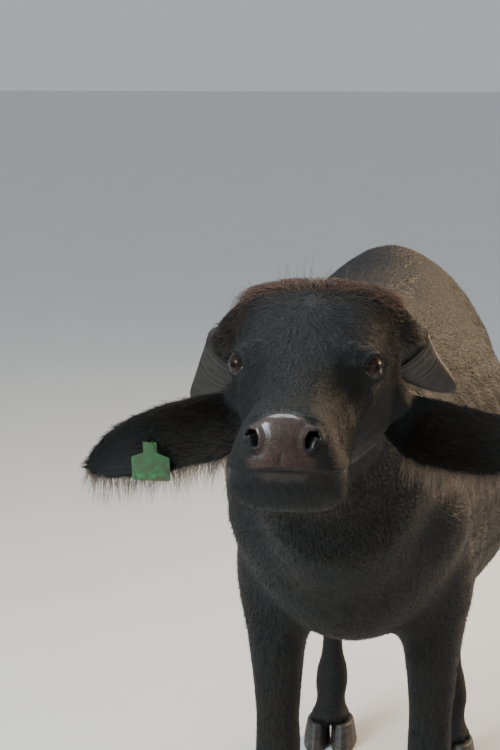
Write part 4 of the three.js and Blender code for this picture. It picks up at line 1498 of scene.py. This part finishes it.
def ripple(places: np.ndarray, size: float, rng: np.random.Generator) -> tuple[np.ndarray, np.ndarray]:
    """Smooth random hills over the skin.

    Args:
        places: where to read them.
        size: about how far one hill is from the next.
        rng: the source of random numbers.

    Returns:
        The height, about -1 to 1, and the way uphill, at each place.
    """
    waves = rng.normal(0, 1, (7, 3))
    waves *= 2 * math.pi / size / np.linalg.norm(waves, axis=1, keepdims=True)
    angles = places @ waves.T + rng.random(7) * 2 * math.pi
    return np.sin(angles).sum(1) / 2.6, np.cos(angles) @ waves / 2.6 * size / (2 * math.pi)


@dataclass
class CoatPiece:
    """One joined mesh of tufts that grows where its density says, the coat's own way or one that is given."""

    name: str
    spacing: float
    strand: Strand
    finish: HairFinish
    density: np.ndarray
    lie: np.ndarray | None = None
    vary: float = 0.35
    tangle: float = 0.15
    clump: float = 0.009
    gather: float = 0.35
    swirl: float = 0.3
    quick_spacing: float = 1.6

    def grow(self, surface: Surface, rng: np.random.Generator) -> None:
        """Makes the piece.

        Args:
            surface: the skin.
            rng: the source of random numbers.
        """
        spacing = self.spacing * 1
        drawn = surface.scatter(self.density, spacing, rng)
        places, outward, vertex = drawn["places"], drawn["normals"], drawn["vertex"]
        count = len(places)
        headings = drawn["lie"] if self.lie is None else self.lie[vertex]
        side = np.cross(headings, outward)
        height, uphill = ripple(places, self.clump, rng)
        swirl, _ = ripple(places, self.clump * 5, rng)
        headings = headings + side * (rng.normal(0, self.tangle, count) + self.swirl * swirl)[:, None]
        uphill = uphill - outward * (uphill * outward).sum(1)[:, None]
        headings = unit(headings + uphill * self.gather)
        thick = np.clip(self.density[vertex], 0, 1)
        lengths = self.strand.length * (1 + self.vary * rng.uniform(-1, 1, count)) * mix(0.5, 1, thick)
        widths = self.strand.width * (1 + 0.4 * rng.uniform(-1, 1, count))
        parts = np.stack([surface.masks[part] for part in Part]).argmax(0)
        spots = unwrap(places, parts[vertex])
        tones = np.clip(0.30 * rng.random(count) + 0.35 + 0.45 * height, 0, 1)
        roots = Roots(places, headings, outward, lengths, widths, spots, tones)
        piece = hair_mesh(self.name, roots, self.strand)
        piece.data.materials.append(self.finish.build())
        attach(piece, BODY)
        LOG.info("%s: %d hairs, %d triangles", self.name, count, len(piece.data.polygons))


@dataclass
class Coat:
    """All the hair that grows on the skin."""

    seed: int = 11
    body_finish: HairFinish = HairFinish("coat_body", (0.006, 0.006, 0.006), (0.030, 0.024, 0.020))
    face_finish: HairFinish = HairFinish("coat_face", (0.005, 0.006, 0.007), (0.046, 0.045, 0.042))
    ear_finish: HairFinish = HairFinish("coat_ears", (0.006, 0.006, 0.006), (0.040, 0.030, 0.024))
    # Painted light: the poll hair's red-brown tips stand in for the warm backlight along the top of the poll.
    poll_backlit_finish: HairFinish = HairFinish("coat_poll", (0.010, 0.007, 0.006), (0.240, 0.085, 0.032), 0.1)
    temple_finish: HairFinish = HairFinish("coat_temple", (0.007, 0.006, 0.006), (0.050, 0.034, 0.025))
    cup_finish: HairFinish = HairFinish("coat_cups", (0.009, 0.008, 0.007), (0.085, 0.060, 0.042))
    fringe_finish: HairFinish = HairFinish("coat_fringe", (0.060, 0.038, 0.024), (0.500, 0.340, 0.190), 0.3)

    def bare_places(self, surface: Surface) -> np.ndarray:
        """The share at each vertex that eyes, nose pad, lips and nostrils leave bare.

        Args:
            surface: the skin.

        Returns:
            A share for each vertex.
        """
        places = surface.places
        _, along, up = HEAD.local(places).T
        bare = np.zeros(len(places))
        for number in SIDES.values():
            long, tall, _ = EyeSocket(number).local(places).T
            bare = np.maximum(bare, 1 - ramp(np.hypot(long * 0.8, tall), 0.014, 0.026))
            reach = np.linalg.norm(places - Nostril(number).centre, axis=1)
            bare = np.maximum(bare, 1 - ramp(reach, 0.018, 0.03))
        pad = np.clip(Face().pad(places) + Face().lips(places), 0, 1)
        groove = near(up - Face().mouth_line(along), 0.005) * ramp(along, 0.34, 0.36)
        return np.clip(bare + pad + groove, 0, 1)

    def lash_places(self, surface: Surface) -> tuple[np.ndarray, np.ndarray]:
        """Where the lashes of the upper lids stand, and which way.

        Args:
            surface: the skin.

        Returns:
            A share and a direction for each vertex.
        """
        mask, ways = np.zeros(len(surface.places)), np.zeros_like(surface.places)
        for number in SIDES.values():
            socket = EyeSocket(number)
            long, tall, out = socket.local(surface.places).T
            close = (np.abs(out) < 0.03) & (np.hypot(long, tall) < 0.026) & (tall > 0.003)
            mask = np.maximum(mask, near(socket.from_edge(long, tall) - 0.0020, 0.0010) * close)
            own = unit(socket.axes[2] * 0.8 + socket.axes[1] * 0.5 + long[:, None] * socket.axes[0] * 18)
            ways = np.where(close[:, None], own, ways)
        return mask, ways + (np.abs(ways).sum(1, keepdims=True) == 0) * np.array([0, -1.0, 0])

    def body_pieces(self, surface: Surface) -> list[CoatPiece]:
        """The short coat of body and face, from the trunk to the tail.

        Args:
            surface: the skin.

        Returns:
            The pieces, not yet grown.
        """
        masks, places = surface.masks, surface.places
        _, along, up = HEAD.local(places).T
        left = ramp(places[:, 0], -0.002, 0.002)
        covered = 1 - self.bare_places(surface)
        muzzle = ramp(along, 0.36, 0.44)
        crown = self.crown(along, up)
        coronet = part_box("hoof_front_left_outer")[1].z
        ankle = masks[Part.LEG] * near(places[:, 2] - coronet - 0.006, 0.009)
        shin = 1 - ramp(places[:, 2], 0.25, 0.45)
        down = np.tile([0.0, -0.1, -1.0], (len(places), 1))
        trunk_hair = Strand(0.022, 0.0014, 0.22, 0.1, segments=1)
        face_hair = Strand(0.0110, 0.0007, 0.30, 0.1, segments=1)
        leg_hair = Strand(0.015, 0.0011, 0.22, 0.1, segments=1)
        shin_hair = Strand(0.009, 0.0008, 0.22, 0.1, segments=1)
        coronet_hair = Strand(0.016, 0.0008, 0.20, 0.1)
        plain = self.body_finish
        pieces = []
        for side, share in (("left", left), ("right", 1 - left)):
            trunk = masks[Part.TORSO] * share
            face = masks[Part.HEAD] * covered * (1 - 0.5 * muzzle) * (1 - 0.6 * crown) * share
            pieces += [
                CoatPiece(f"coat_trunk_{side}", 0.0062, trunk_hair, plain, trunk),
                CoatPiece(f"coat_face_{side}", 0.0022, face_hair, self.face_finish, face, clump=0.006),
            ]
        return pieces + [
            CoatPiece("coat_neck", 0.0042, Strand(0.022, 0.0012), plain, masks[Part.NECK]),
            CoatPiece("coat_legs", 0.0050, leg_hair, plain, masks[Part.LEG] * (1 - shin)),
            CoatPiece("coat_shins", 0.0034, shin_hair, plain, masks[Part.LEG] * shin),
            CoatPiece("coat_coronets", 0.0022, coronet_hair, plain, ankle, down, gather=0.5),
            CoatPiece("coat_tail", 0.0042, Strand(0.018, 0.0013), plain, masks[Part.TAIL]),
        ]

    def crown(self, along: np.ndarray, up: np.ndarray) -> np.ndarray:
        """Where the longer hair of the poll and temples grows, by places along and up the head."""
        return (1 - ramp(along, 0.055, 0.150)) * ramp(up, -0.15, -0.06)

    def head_pieces(self, surface: Surface) -> list[CoatPiece]:
        """The hair of ears, poll, temples, lids and chin.

        Args:
            surface: the skin.

        Returns:
            The pieces, not yet grown.
        """
        masks = surface.masks
        across, along, up = HEAD.local(surface.places).T
        reach = np.abs(across)
        covered = 1 - self.bare_places(surface)
        ear, hairline = masks[Part.EAR], masks[Part.HEAD] * self.crown(along, up)
        poll = ramp(up, -0.034, 0.000) * (1 - ramp(reach, 0.09, 0.13)) * (1 - ramp(along, 0.04, 0.10))
        top = hairline * poll
        temple = hairline * (1 - poll) * covered + ear * (1 - ramp(reach, 0.125, 0.175))
        rim = surface.rims()
        under = ear * (rim * surface.below_middle(Part.EAR))
        cup = ear * ramp(-surface.normals[:, 1], 0.2, 0.6) * (1 - ramp(reach, 0.22, 0.30))
        lashes, lash_way = self.lash_places(surface)
        jaw = masks[Part.HEAD] * ramp(Face().mouth_line(along) - up, 0.008, 0.02) * ramp(along, 0.30, 0.40)
        hanging = unit(surface.normals * 0.6 + np.array([0.0, -0.1, -1.0]))
        poll_hair = Strand(0.036, 0.0010, 0.95, 0.80, 0.10, 3)
        temple_hair = Strand(0.030, 0.0010, 0.45, 0.36, 0.25, 3)
        fringe_hair = Strand(0.032, 0.0005, 0.2, 0.1, 0.15, 3)
        stray_hair = Strand(0.026, 0.0006, 2.0, 0.7, 0.0, 3)
        lash_hair = Strand(0.013, 0.0006, 0.1, -0.25, 0.1, 3)
        cup_hair = Strand(0.024, 0.0006, 0.45, 0.3, 0.1, 3)
        chin_hair = Strand(0.022, 0.0006, 0.9, 0.5, 0.2, 3)
        # The poll and stray hairs wear the poll finish, whose red-brown tips are painted backlight.
        backlit_red, brown, pale, inner = self.poll_backlit_finish, self.temple_finish, self.fringe_finish, self.cup_finish
        return [
            CoatPiece("coat_ears", 0.0026, Strand(0.010, 0.0006, segments=1), self.ear_finish, ear),
            CoatPiece("coat_poll", 0.0027, poll_hair, backlit_red, top, vary=0.45, tangle=0.3),
            CoatPiece("coat_temple", 0.0028, temple_hair, brown, temple, vary=0.45),
            CoatPiece("coat_rims", 0.0016, Strand(0.013, 0.0005, 0.5, 0.3), brown, ear * rim, vary=0.5),
            CoatPiece("coat_fringe", 0.0012, fringe_hair, pale, under, hanging, vary=0.6, tangle=0.3),
            CoatPiece("coat_strays", 0.018, stray_hair, backlit_red, top, vary=0.5, tangle=0.8),
            CoatPiece("coat_lashes", 0.0010, lash_hair, brown, lashes, lash_way, vary=0.3, tangle=0.1),
            CoatPiece("coat_cups", 0.0040, cup_hair, inner, cup, vary=0.5, tangle=0.3),
            CoatPiece("coat_chin", 0.009, chin_hair, brown, jaw * covered, vary=0.5, tangle=0.5),
        ]

    def build(self, surface: Surface) -> None:
        """Grows every piece of the coat on the skin.

        Args:
            surface: the skin.
        """
        rng = np.random.default_rng(self.seed)
        for piece in self.body_pieces(surface) + self.head_pieces(surface):
            piece.grow(surface, rng)


@dataclass(frozen=True)
class EyeFinish:
    """Wet dark brown, with a level oval pupil, a dark rim and a brown white."""

    pupil: tuple = (0.002, 0.002, 0.003)
    iris_dark: tuple = (0.011, 0.005, 0.004)
    iris_pale: tuple = (0.032, 0.013, 0.008)
    rim: tuple = (0.010, 0.008, 0.008)
    white_dark: tuple = (0.050, 0.028, 0.018)
    white_pale: tuple = (0.110, 0.075, 0.055)

    def build(self) -> bpy.types.Material:
        """The material, which reads how far from the pupil each vertex is."""
        s = Shader("eye")
        edge = s.attribute("from_pupil")
        iris = s.blend(s.noise(s.place(), 900, 3), self.iris_dark, self.iris_pale)
        colour = s.blend(s.span(edge, 0.34, 0.42), self.pupil, iris)
        colour = s.blend(s.span(edge, 0.88, 1.0), colour, self.rim)
        white = s.blend(s.noise(s.place(), 160, 3), self.white_dark, self.white_pale)
        colour = s.blend(s.span(edge, 1.02, 1.16), colour, white)
        wet = {"Roughness": 0.3, "Specular_IOR_Level": 0.08, "Coat_Weight": 0.2, "Coat_Roughness": 0.02}
        return s.finish(Base_Color=colour, **wet)


@dataclass
class Eyes:
    """The two eyeballs with their irises."""

    radius: float = 0.022
    cornea: float = 0.0135
    cornea_rise: float = 0.0016
    pupil_wide: float = 1.25
    pupil_tall: float = 0.72
    pupil_edge: float = 0.42
    beyond: float = 3.0

    def build(self) -> None:
        """Makes both eyes."""
        material = EyeFinish().build()
        for name, number in SIDES.items():
            socket = EyeSocket(number)
            bpy.ops.mesh.primitive_uv_sphere_add(segments=96, ring_count=64, radius=self.radius)
            ball = bpy.context.object
            ball.name = f"eyeball_{name}"
            points = coordinates(ball.data)
            reach = np.linalg.norm(points[:, :2], axis=1)
            front = points[:, 2] > 0
            rise = self.cornea_rise * (1 - ramp(reach, self.cornea * 0.45, self.cornea * 1.02)) * front
            points = points + unit(points) * rise[:, None]
            edge = np.where(front, reach / self.cornea, self.beyond)
            across = points[:, 0] / (self.cornea * self.pupil_wide)
            pupil = np.sqrt(across**2 + (points[:, 1] / (self.cornea * self.pupil_tall)) ** 2)
            shade = np.where(front & (pupil < self.pupil_edge), pupil, np.maximum(edge, self.pupil_edge))
            set_attribute(ball.data, "from_pupil", shade)
            gaze = HEAD.way(0.60 * number, 0.78, 0.16)
            level = HEAD.way(-0.78 * number, 0.60, 0)
            level = unit(level - gaze * (level @ gaze))
            basis = np.stack([level, np.cross(gaze, level), gaze])
            set_coordinates(ball.data, points @ basis + socket.centre)
            shade_all_smooth(ball.data)
            ball.data.materials.append(material)
            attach(ball, BODY)
            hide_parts(f"eye_{name}")
            LOG.info("%s: %d faces", ball.name, len(ball.data.polygons))


def catmull_rom(keys: np.ndarray, steps: int) -> np.ndarray:
    """Points on a smooth curve through some keys.

    Args:
        keys: the points that it passes through.
        steps: how many points each span takes.

    Returns:
        The curve's points.
    """
    padded = np.concatenate([2 * keys[:1] - keys[1:2], keys, 2 * keys[-1:] - keys[-2:-1]])
    out = []
    for i in range(1, len(padded) - 2):
        a, b, c, d = padded[i - 1 : i + 3]
        t = np.linspace(0, 1, steps, endpoint=False)[:, None]
        bend, twist = 2 * a - 5 * b + 4 * c - d, 3 * b - a - 3 * c + d
        out.append(0.5 * (2 * b + (c - a) * t + bend * t**2 + twist * t**3))
    return np.concatenate([*out, keys[-1:]])


@dataclass(frozen=True)
class HornFinish:
    """Dark streaked horn, darker still at the tip."""

    dark: tuple = (0.008, 0.007, 0.007)
    pale: tuple = (0.026, 0.021, 0.017)
    tip: tuple = (0.007, 0.006, 0.006)

    def build(self) -> bpy.types.Material:
        """The material, which reads how far along the horn each vertex is."""
        s = Shader("horn")
        growth = s.attribute("growth")
        streak = s.noise(s.place(), 60, 4)
        colour = s.blend(s.span(streak, 0.35, 0.7), self.dark, self.pale)
        colour = s.blend(s.span(growth, 0.80, 1.0), colour, self.tip)
        normal = s.bump(streak, 0.001, 0.6)
        return s.finish(Base_Color=colour, Roughness=0.55, Specular_IOR_Level=0.2, Normal=normal)


@dataclass
class Horns:
    """The two ribbed horns that grow out of the hair of the poll."""

    path: tuple = (
        (0.064, 0.052, -0.022),
        (0.094, 0.042, -0.030),
        (0.113, 0.015, -0.051),
        (0.127, -0.030, -0.092),
        (0.146, -0.075, -0.134),
        (0.173, -0.110, -0.168),
        (0.202, -0.138, -0.196),
    )
    spread_right: float = 0.036
    drop_right: float = 0.026
    broad: float = 0.049
    thin: float = 0.031
    start: float = 0.42
    rings: int = 110
    sides: int = 40
    ridges: int = 19
    ridge_height: float = 0.020

    def curve(self, number: int) -> np.ndarray:
        """Points along one horn's middle line, evenly spaced from root to tip.

        Args:
            number: 1 for her left side, -1 for her right.

        Returns:
            The points as rows.
        """
        keys = np.array(self.path)
        share = np.linspace(0, 1, len(keys))
        right = number < 0
        keys[:, 0] += self.spread_right * np.minimum(share * 1.5, 1) * right
        keys[:, 0] *= number
        keys = HEAD.origin + keys @ HEAD.ways
        keys[:, 2] -= self.drop_right * share * right
        fine = catmull_rom(keys, 40)
        gaps = np.linalg.norm(np.diff(fine, axis=0), axis=1)
        way = np.concatenate([[0], gaps.cumsum()])
        wanted = np.linspace(0, way[-1], self.rings)
        return np.stack([np.interp(wanted, way, fine[:, i]) for i in range(3)], 1)

    def rows(self, number: int) -> np.ndarray:
        """The points of one horn, a ring of them at each station from where it leaves the hair to its tip.

        Args:
            number: 1 for her left side, -1 for her right.

        Returns:
            Places by ring and by turn.
        """
        line = self.curve(number)
        heading = unit(np.gradient(line, axis=0))
        thin_way = unit(np.cross(heading, HEAD.way(0.5 * number, 0.25, 1)))
        broad_way = unit(np.cross(thin_way, heading))
        share = np.linspace(0, 1, self.rings)
        size = np.maximum(np.cos(share * math.pi / 2) ** 0.52, 0.02)
        uneven = 0.6 + 0.4 * np.sin(share * 31)
        wave = np.sin(share * 2 * math.pi * self.ridges + 2.6 * np.sin(share * 17)) * uneven
        ridge = 1 + self.ridge_height * wave * (1 - ramp(share, 0.62, 0.85))
        turns = np.linspace(0, 2 * math.pi, self.sides, endpoint=False)
        level = self.broad * (np.sign(np.cos(turns)) * np.abs(np.cos(turns)) ** 0.85)
        upright = self.thin * np.sin(turns)
        across = broad_way[:, None] * level[None, :, None] + thin_way[:, None] * upright[None, :, None]
        return (line[:, None] + (size * ridge)[:, None, None] * across)[self.first :]

    @property
    def first(self) -> int:
        """The first ring that stands clear of the hair."""
        return int(self.start * self.rings)

    def build(self) -> None:
        """Makes both horns."""
        material = HornFinish().build()
        n = self.sides
        share = np.linspace(0, 1, self.rings)[self.first :]
        last = (len(share) - 1) * n
        faces = [
            (row + i, row + (i + 1) % n, row + n + (i + 1) % n, row + n + i)
            for row in range(0, last, n)
            for i in range(n)
        ]
        faces += [tuple(range(n))[::-1], tuple(last + i for i in range(n))]
        for name, number in SIDES.items():
            horn = mesh_object(f"horn_sheath_{name}", self.rows(number).reshape(-1, 3), faces)
            with editing(horn):
                bpy.ops.mesh.normals_make_consistent(inside=False)
            shade_all_smooth(horn.data)
            set_attribute(horn.data, "growth", np.repeat(share, n))
            horn.data.materials.append(material)
            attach(horn, BODY)
            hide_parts(f"horn_{name}")
            LOG.info("%s: %d faces", horn.name, len(horn.data.polygons))


@dataclass(frozen=True)
class ClawFinish:
    """Dark worn horn with level growth lines and pale scuffs low down."""

    dark: tuple = (0.013, 0.011, 0.010)
    pale: tuple = (0.046, 0.038, 0.031)
    scuffed: tuple = (0.16, 0.13, 0.10)
    scuff_height: float = 0.03

    def build(self) -> bpy.types.Material:
        """The material."""
        s = Shader("claw")
        lines = s.noise(s.place((1, 1, 6)), 22, 4)
        colour = s.blend(s.span(lines, 0.35, 0.7), self.dark, self.pale)
        scuff = s.noise(s.place(), 45, 5, 0.7)
        height = s.node("SeparateXYZ", {0: s.place()}).outputs[2]
        low = s.math("MULTIPLY", s.span(height, 0.0, self.scuff_height, 1, 0), s.span(scuff, 0.5, 0.7))
        colour = s.blend(low, colour, self.scuffed)
        return s.finish(Base_Color=colour, Roughness=0.55, Normal=s.bump(lines, 0.0015, 0.6))


@dataclass
class Claws:
    """The eight claws, each from its own solid."""

    voxel: float = 0.0026
    ring_gap: float = 0.0065
    ring_height: float = 0.0005
    sole: float = 0.0022

    def build(self) -> None:
        """Makes all eight."""
        material = ClawFinish().build()
        for name in [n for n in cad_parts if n.startswith("hoof_")]:
            claw = copy_node(name)
            claw.name = name.replace("hoof", "claw")
            apply_modifier(claw, "REMESH", mode="VOXEL", voxel_size=self.voxel, use_smooth_shade=True)
            places = smooth(claw.data, coordinates(claw.data), 6, 0.5)
            ring = np.sin(places[:, 2] / self.ring_gap * 2 * math.pi) * self.ring_height
            ring *= ramp(places[:, 2], 0.006, 0.012)
            set_coordinates(claw.data, places)
            places = places + vertex_normals(claw.data) * ring[:, None] * np.array([1, 1, 0])
            places[:, 2] = np.where(places[:, 2] < self.sole, 0.0, places[:, 2])
            set_coordinates(claw.data, places)
            claw.data.materials.append(material)
            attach(claw, BODY)
            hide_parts(name)
        LOG.info("claws: %d faces each", len(claw.data.polygons))


@dataclass
class TailSwitch:
    """The long coarse hair that hangs from the end of the tail."""

    finish: HairFinish = HairFinish("switch_hair", (0.010, 0.008, 0.007), (0.070, 0.040, 0.024), 0.1)
    count: int = 3800
    above: float = 0.055
    bottom: float = 0.44
    core: float = 0.0085
    width: float = 0.0026
    seed: int = 5

    def build(self) -> None:
        """Hangs the hairs from the last of the tail."""
        rng = np.random.default_rng(self.seed)
        low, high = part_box("tail_switch")
        middle = (np.array(low) + np.array(high)) / 2
        count = self.count // 1
        top = high.z + self.above
        level = mix(top, self.bottom, rng.random(count) ** 1.15)
        turn = rng.random(count) * 2 * math.pi
        out = np.stack([np.cos(turn), np.sin(turn), np.zeros(count)], 1)
        core = self.core * (1 - 0.2 * ramp(-level, -top, -self.bottom))
        line = np.stack([np.full(count, middle[0]), np.full(count, middle[1]), level], 1)
        places = line + out * core[:, None]
        open_up = ramp(top - level, 0.0, 0.16)
        lean = rng.uniform(0.00, 0.16, count) * (0.25 + open_up)
        headings = unit(np.array([[0, 0, -1.0]]) + out * lean[:, None])
        reach = np.minimum(mix(0.10, 0.25, open_up), level - low.z - 0.004) * rng.uniform(0.72, 1.0, count)
        strand = Strand(0.2, 0.003, rise=0.10, sag=0.14, segments=4, sink=0.0)
        outward = unit(out - headings * (out * headings).sum(1, keepdims=True))
        spots = np.stack([0.75 + 0.25 * (turn / (2 * math.pi)), level / 1.3 * 0.5], 1)
        widths = self.width * rng.uniform(0.6, 1.4, count)
        roots = Roots(places, headings, outward, reach, widths, spots, rng.random(count))
        piece = hair_mesh("tail_switch_hair", roots, strand)
        piece.data.materials.append(self.finish.build())
        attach(piece, BODY)
        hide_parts("tail_switch")
        LOG.info("%s: %d triangles, from %.3f down", piece.name, len(piece.data.polygons), top)


@dataclass(frozen=True)
class TagFinish:
    """Worn green plastic with dirt and pale scratches, and a painted glow along its lower edge where light
    shines through it.
    """

    green: tuple = (0.020, 0.110, 0.030)
    painted_glow_edge: tuple = (0.030, 0.260, 0.070)
    dirt: tuple = (0.034, 0.055, 0.020)
    scratch: tuple = (0.09, 0.24, 0.08)

    def build(self) -> bpy.types.Material:
        """The material."""
        s = Shader("ear_tag")
        place = s.place()
        dirt = s.noise(place, 90, 5, 0.7)
        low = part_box("ear_tag_plate")[0].z
        height = s.node("SeparateXYZ", {0: place}).outputs[2]
        # Painted light: the lower edge is made brighter green, as if light shone through the plastic there.
        clean_with_glow = s.blend(s.span(height, low + 0.004, low + 0.016), self.painted_glow_edge, self.green)
        colour = s.blend(s.span(dirt, 0.38, 0.60), clean_with_glow, self.dirt)
        scratch = s.noise(s.place((1, 1, 12)), 40, 3)
        colour = s.blend(s.span(scratch, 0.62, 0.75, 0, 0.5), colour, self.scratch)
        return s.finish(Base_Color=colour, Roughness=0.45, Normal=s.bump(dirt, 0.0004, 0.6))


@dataclass
class EarTag:
    """The plate and the button of the ear tag, bare of print."""

    rounding: float = 0.0006
    sharp: float = math.radians(35)

    def build(self) -> None:
        """Rounds the edges of both parts of the tag."""
        material = TagFinish().build()
        for part in ("plate", "button"):
            piece = copy_node(f"ear_tag_{part}")
            piece.name = f"tag_{part}"
            apply_modifier(piece, "BEVEL", width=self.rounding, segments=2, limit_method="ANGLE")
            activate(piece)
            bpy.ops.object.shade_smooth_by_angle(angle=self.sharp)
            piece.data.materials.append(material)
            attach(piece, BODY)
            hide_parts(f"ear_tag_{part}")
        LOG.info("ear tag: 2 pieces")


@dataclass(frozen=True)
class FloorFinish:
    """Plain pale floor."""

    dark: tuple = (0.70, 0.70, 0.69)
    pale: tuple = (0.76, 0.76, 0.75)

    def build(self) -> bpy.types.Material:
        """The material."""
        s = Shader("floor")
        return s.finish(Base_Color=s.blend(s.noise(s.place(), 3, 3), self.dark, self.pale), Roughness=0.75)


@dataclass(frozen=True)
class Lamp:
    """One square soft light: where it hangs, what it faces, its side, its watts and its tint."""

    name: str
    place: tuple
    aim: tuple
    size: float
    power: float
    colour: tuple

    def build(self) -> None:
        """Hangs it and turns it to what it faces."""
        data = bpy.data.lights.new(self.name, "AREA")
        data.size, data.energy, data.color = self.size, self.power, self.colour
        lamp = bpy.data.objects.new(self.name, data)
        lamp.location = self.place
        lamp.rotation_euler = (Vector(self.aim) - Vector(self.place)).to_track_quat("-Z", "Y").to_euler()
        bpy.context.scene.collection.objects.link(lamp)


@dataclass(frozen=True)
class Studio:
    """Pale floor, soft lights and the camera at the photo's view.

    The key is cool and in front, the rim warm, low and behind her left.
    """

    target: tuple = (0.0, -0.839, 1.344)
    azimuth: float = math.radians(7.3)
    elevation: float = math.radians(12)
    distance: float = 2.56
    lens: float = 85.0
    sensor: float = 36.0
    frame_size: tuple = (500, 750)
    target_pixel: tuple = (303, 366)
    surround: tuple = (0.82, 0.88, 0.92, 1)
    surround_power: float = 0.55
    floor_size: float = 60.0
    lamps: tuple = (
        Lamp("key", (-3.2, -3.4, 3.6), (0, -0.7, 1.1), 2.4, 330, (0.82, 0.94, 1.0)),
        Lamp("top", (-0.3, 0.2, 3.9), (0, -0.8, 1.3), 2.2, 100, (0.90, 0.97, 1.0)),
        Lamp("rim", (2.7, 3.4, 2.4), (0, -0.6, 1.2), 1.4, 250, (1.0, 0.70, 0.40)),
        Lamp("fill", (3.6, -3.9, 1.6), (0, -0.3, 0.9), 3.0, 30, (1.0, 0.93, 0.84)),
    )

    def camera(self) -> None:
        """Sets the camera so that the point between the eyes falls on its pixel."""
        level = math.cos(self.elevation)
        sideways, forward = math.sin(self.azimuth) * level, -math.cos(self.azimuth) * level
        away = Vector((sideways, forward, math.sin(self.elevation)))
        data = bpy.data.cameras.new("camera")
        data.lens = self.lens
        data.sensor_width = self.sensor
        eye = bpy.data.objects.new("camera", data)
        bpy.context.scene.collection.objects.link(eye)
        width, height = self.frame_size
        per_pixel = data.sensor_width / self.lens / max(width, height)
        right = (self.target_pixel[0] - width / 2) * per_pixel
        down = (self.target_pixel[1] - height / 2) * per_pixel
        turn = Matrix.Rotation(math.atan(right), 4, "Y") @ Matrix.Rotation(math.atan(down), 4, "X")
        facing = (-away).to_track_quat("-Z", "Y").to_matrix().to_4x4()
        eye.matrix_world = Matrix.Translation(Vector(self.target) + away * self.distance) @ facing @ turn
        bpy.context.scene.camera = eye

    def floor(self) -> None:
        """A pale floor far wider than the animal."""
        bpy.ops.mesh.primitive_plane_add(size=self.floor_size, location=(0, 0, 0))
        ground = bpy.context.object
        ground.name = "floor"
        ground.data.materials.append(FloorFinish().build())
        ground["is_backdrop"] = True

    def lights(self) -> None:
        """The pale surround and the lamps."""
        world = bpy.data.worlds.new("surround")
        world.use_nodes = True
        background = world.node_tree.nodes["Background"]
        background.inputs[0].default_value = self.surround
        background.inputs[1].default_value = self.surround_power
        bpy.context.scene.world = world
        for lamp in self.lamps:
            lamp.build()

    def build(self) -> None:
        """Makes the camera, floor and lights."""
        self.camera()
        self.floor()
        self.lights()


def corners() -> list[list[float]]:
    """The lowest and highest corner of what shows, as plain lists."""
    return [list(corner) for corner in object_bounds()]


def main() -> None:
    """Builds the studio and the animal."""
    logging.basicConfig(level=logging.INFO, format="%(name)s %(message)s")
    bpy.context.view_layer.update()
    Studio().build()
    surface = Skin().build()
    Eyes().build()
    Horns().build()
    Claws().build()
    TailSwitch().build()
    EarTag().build()
    Coat().build(surface)


if __name__ == "__main__":
    main()
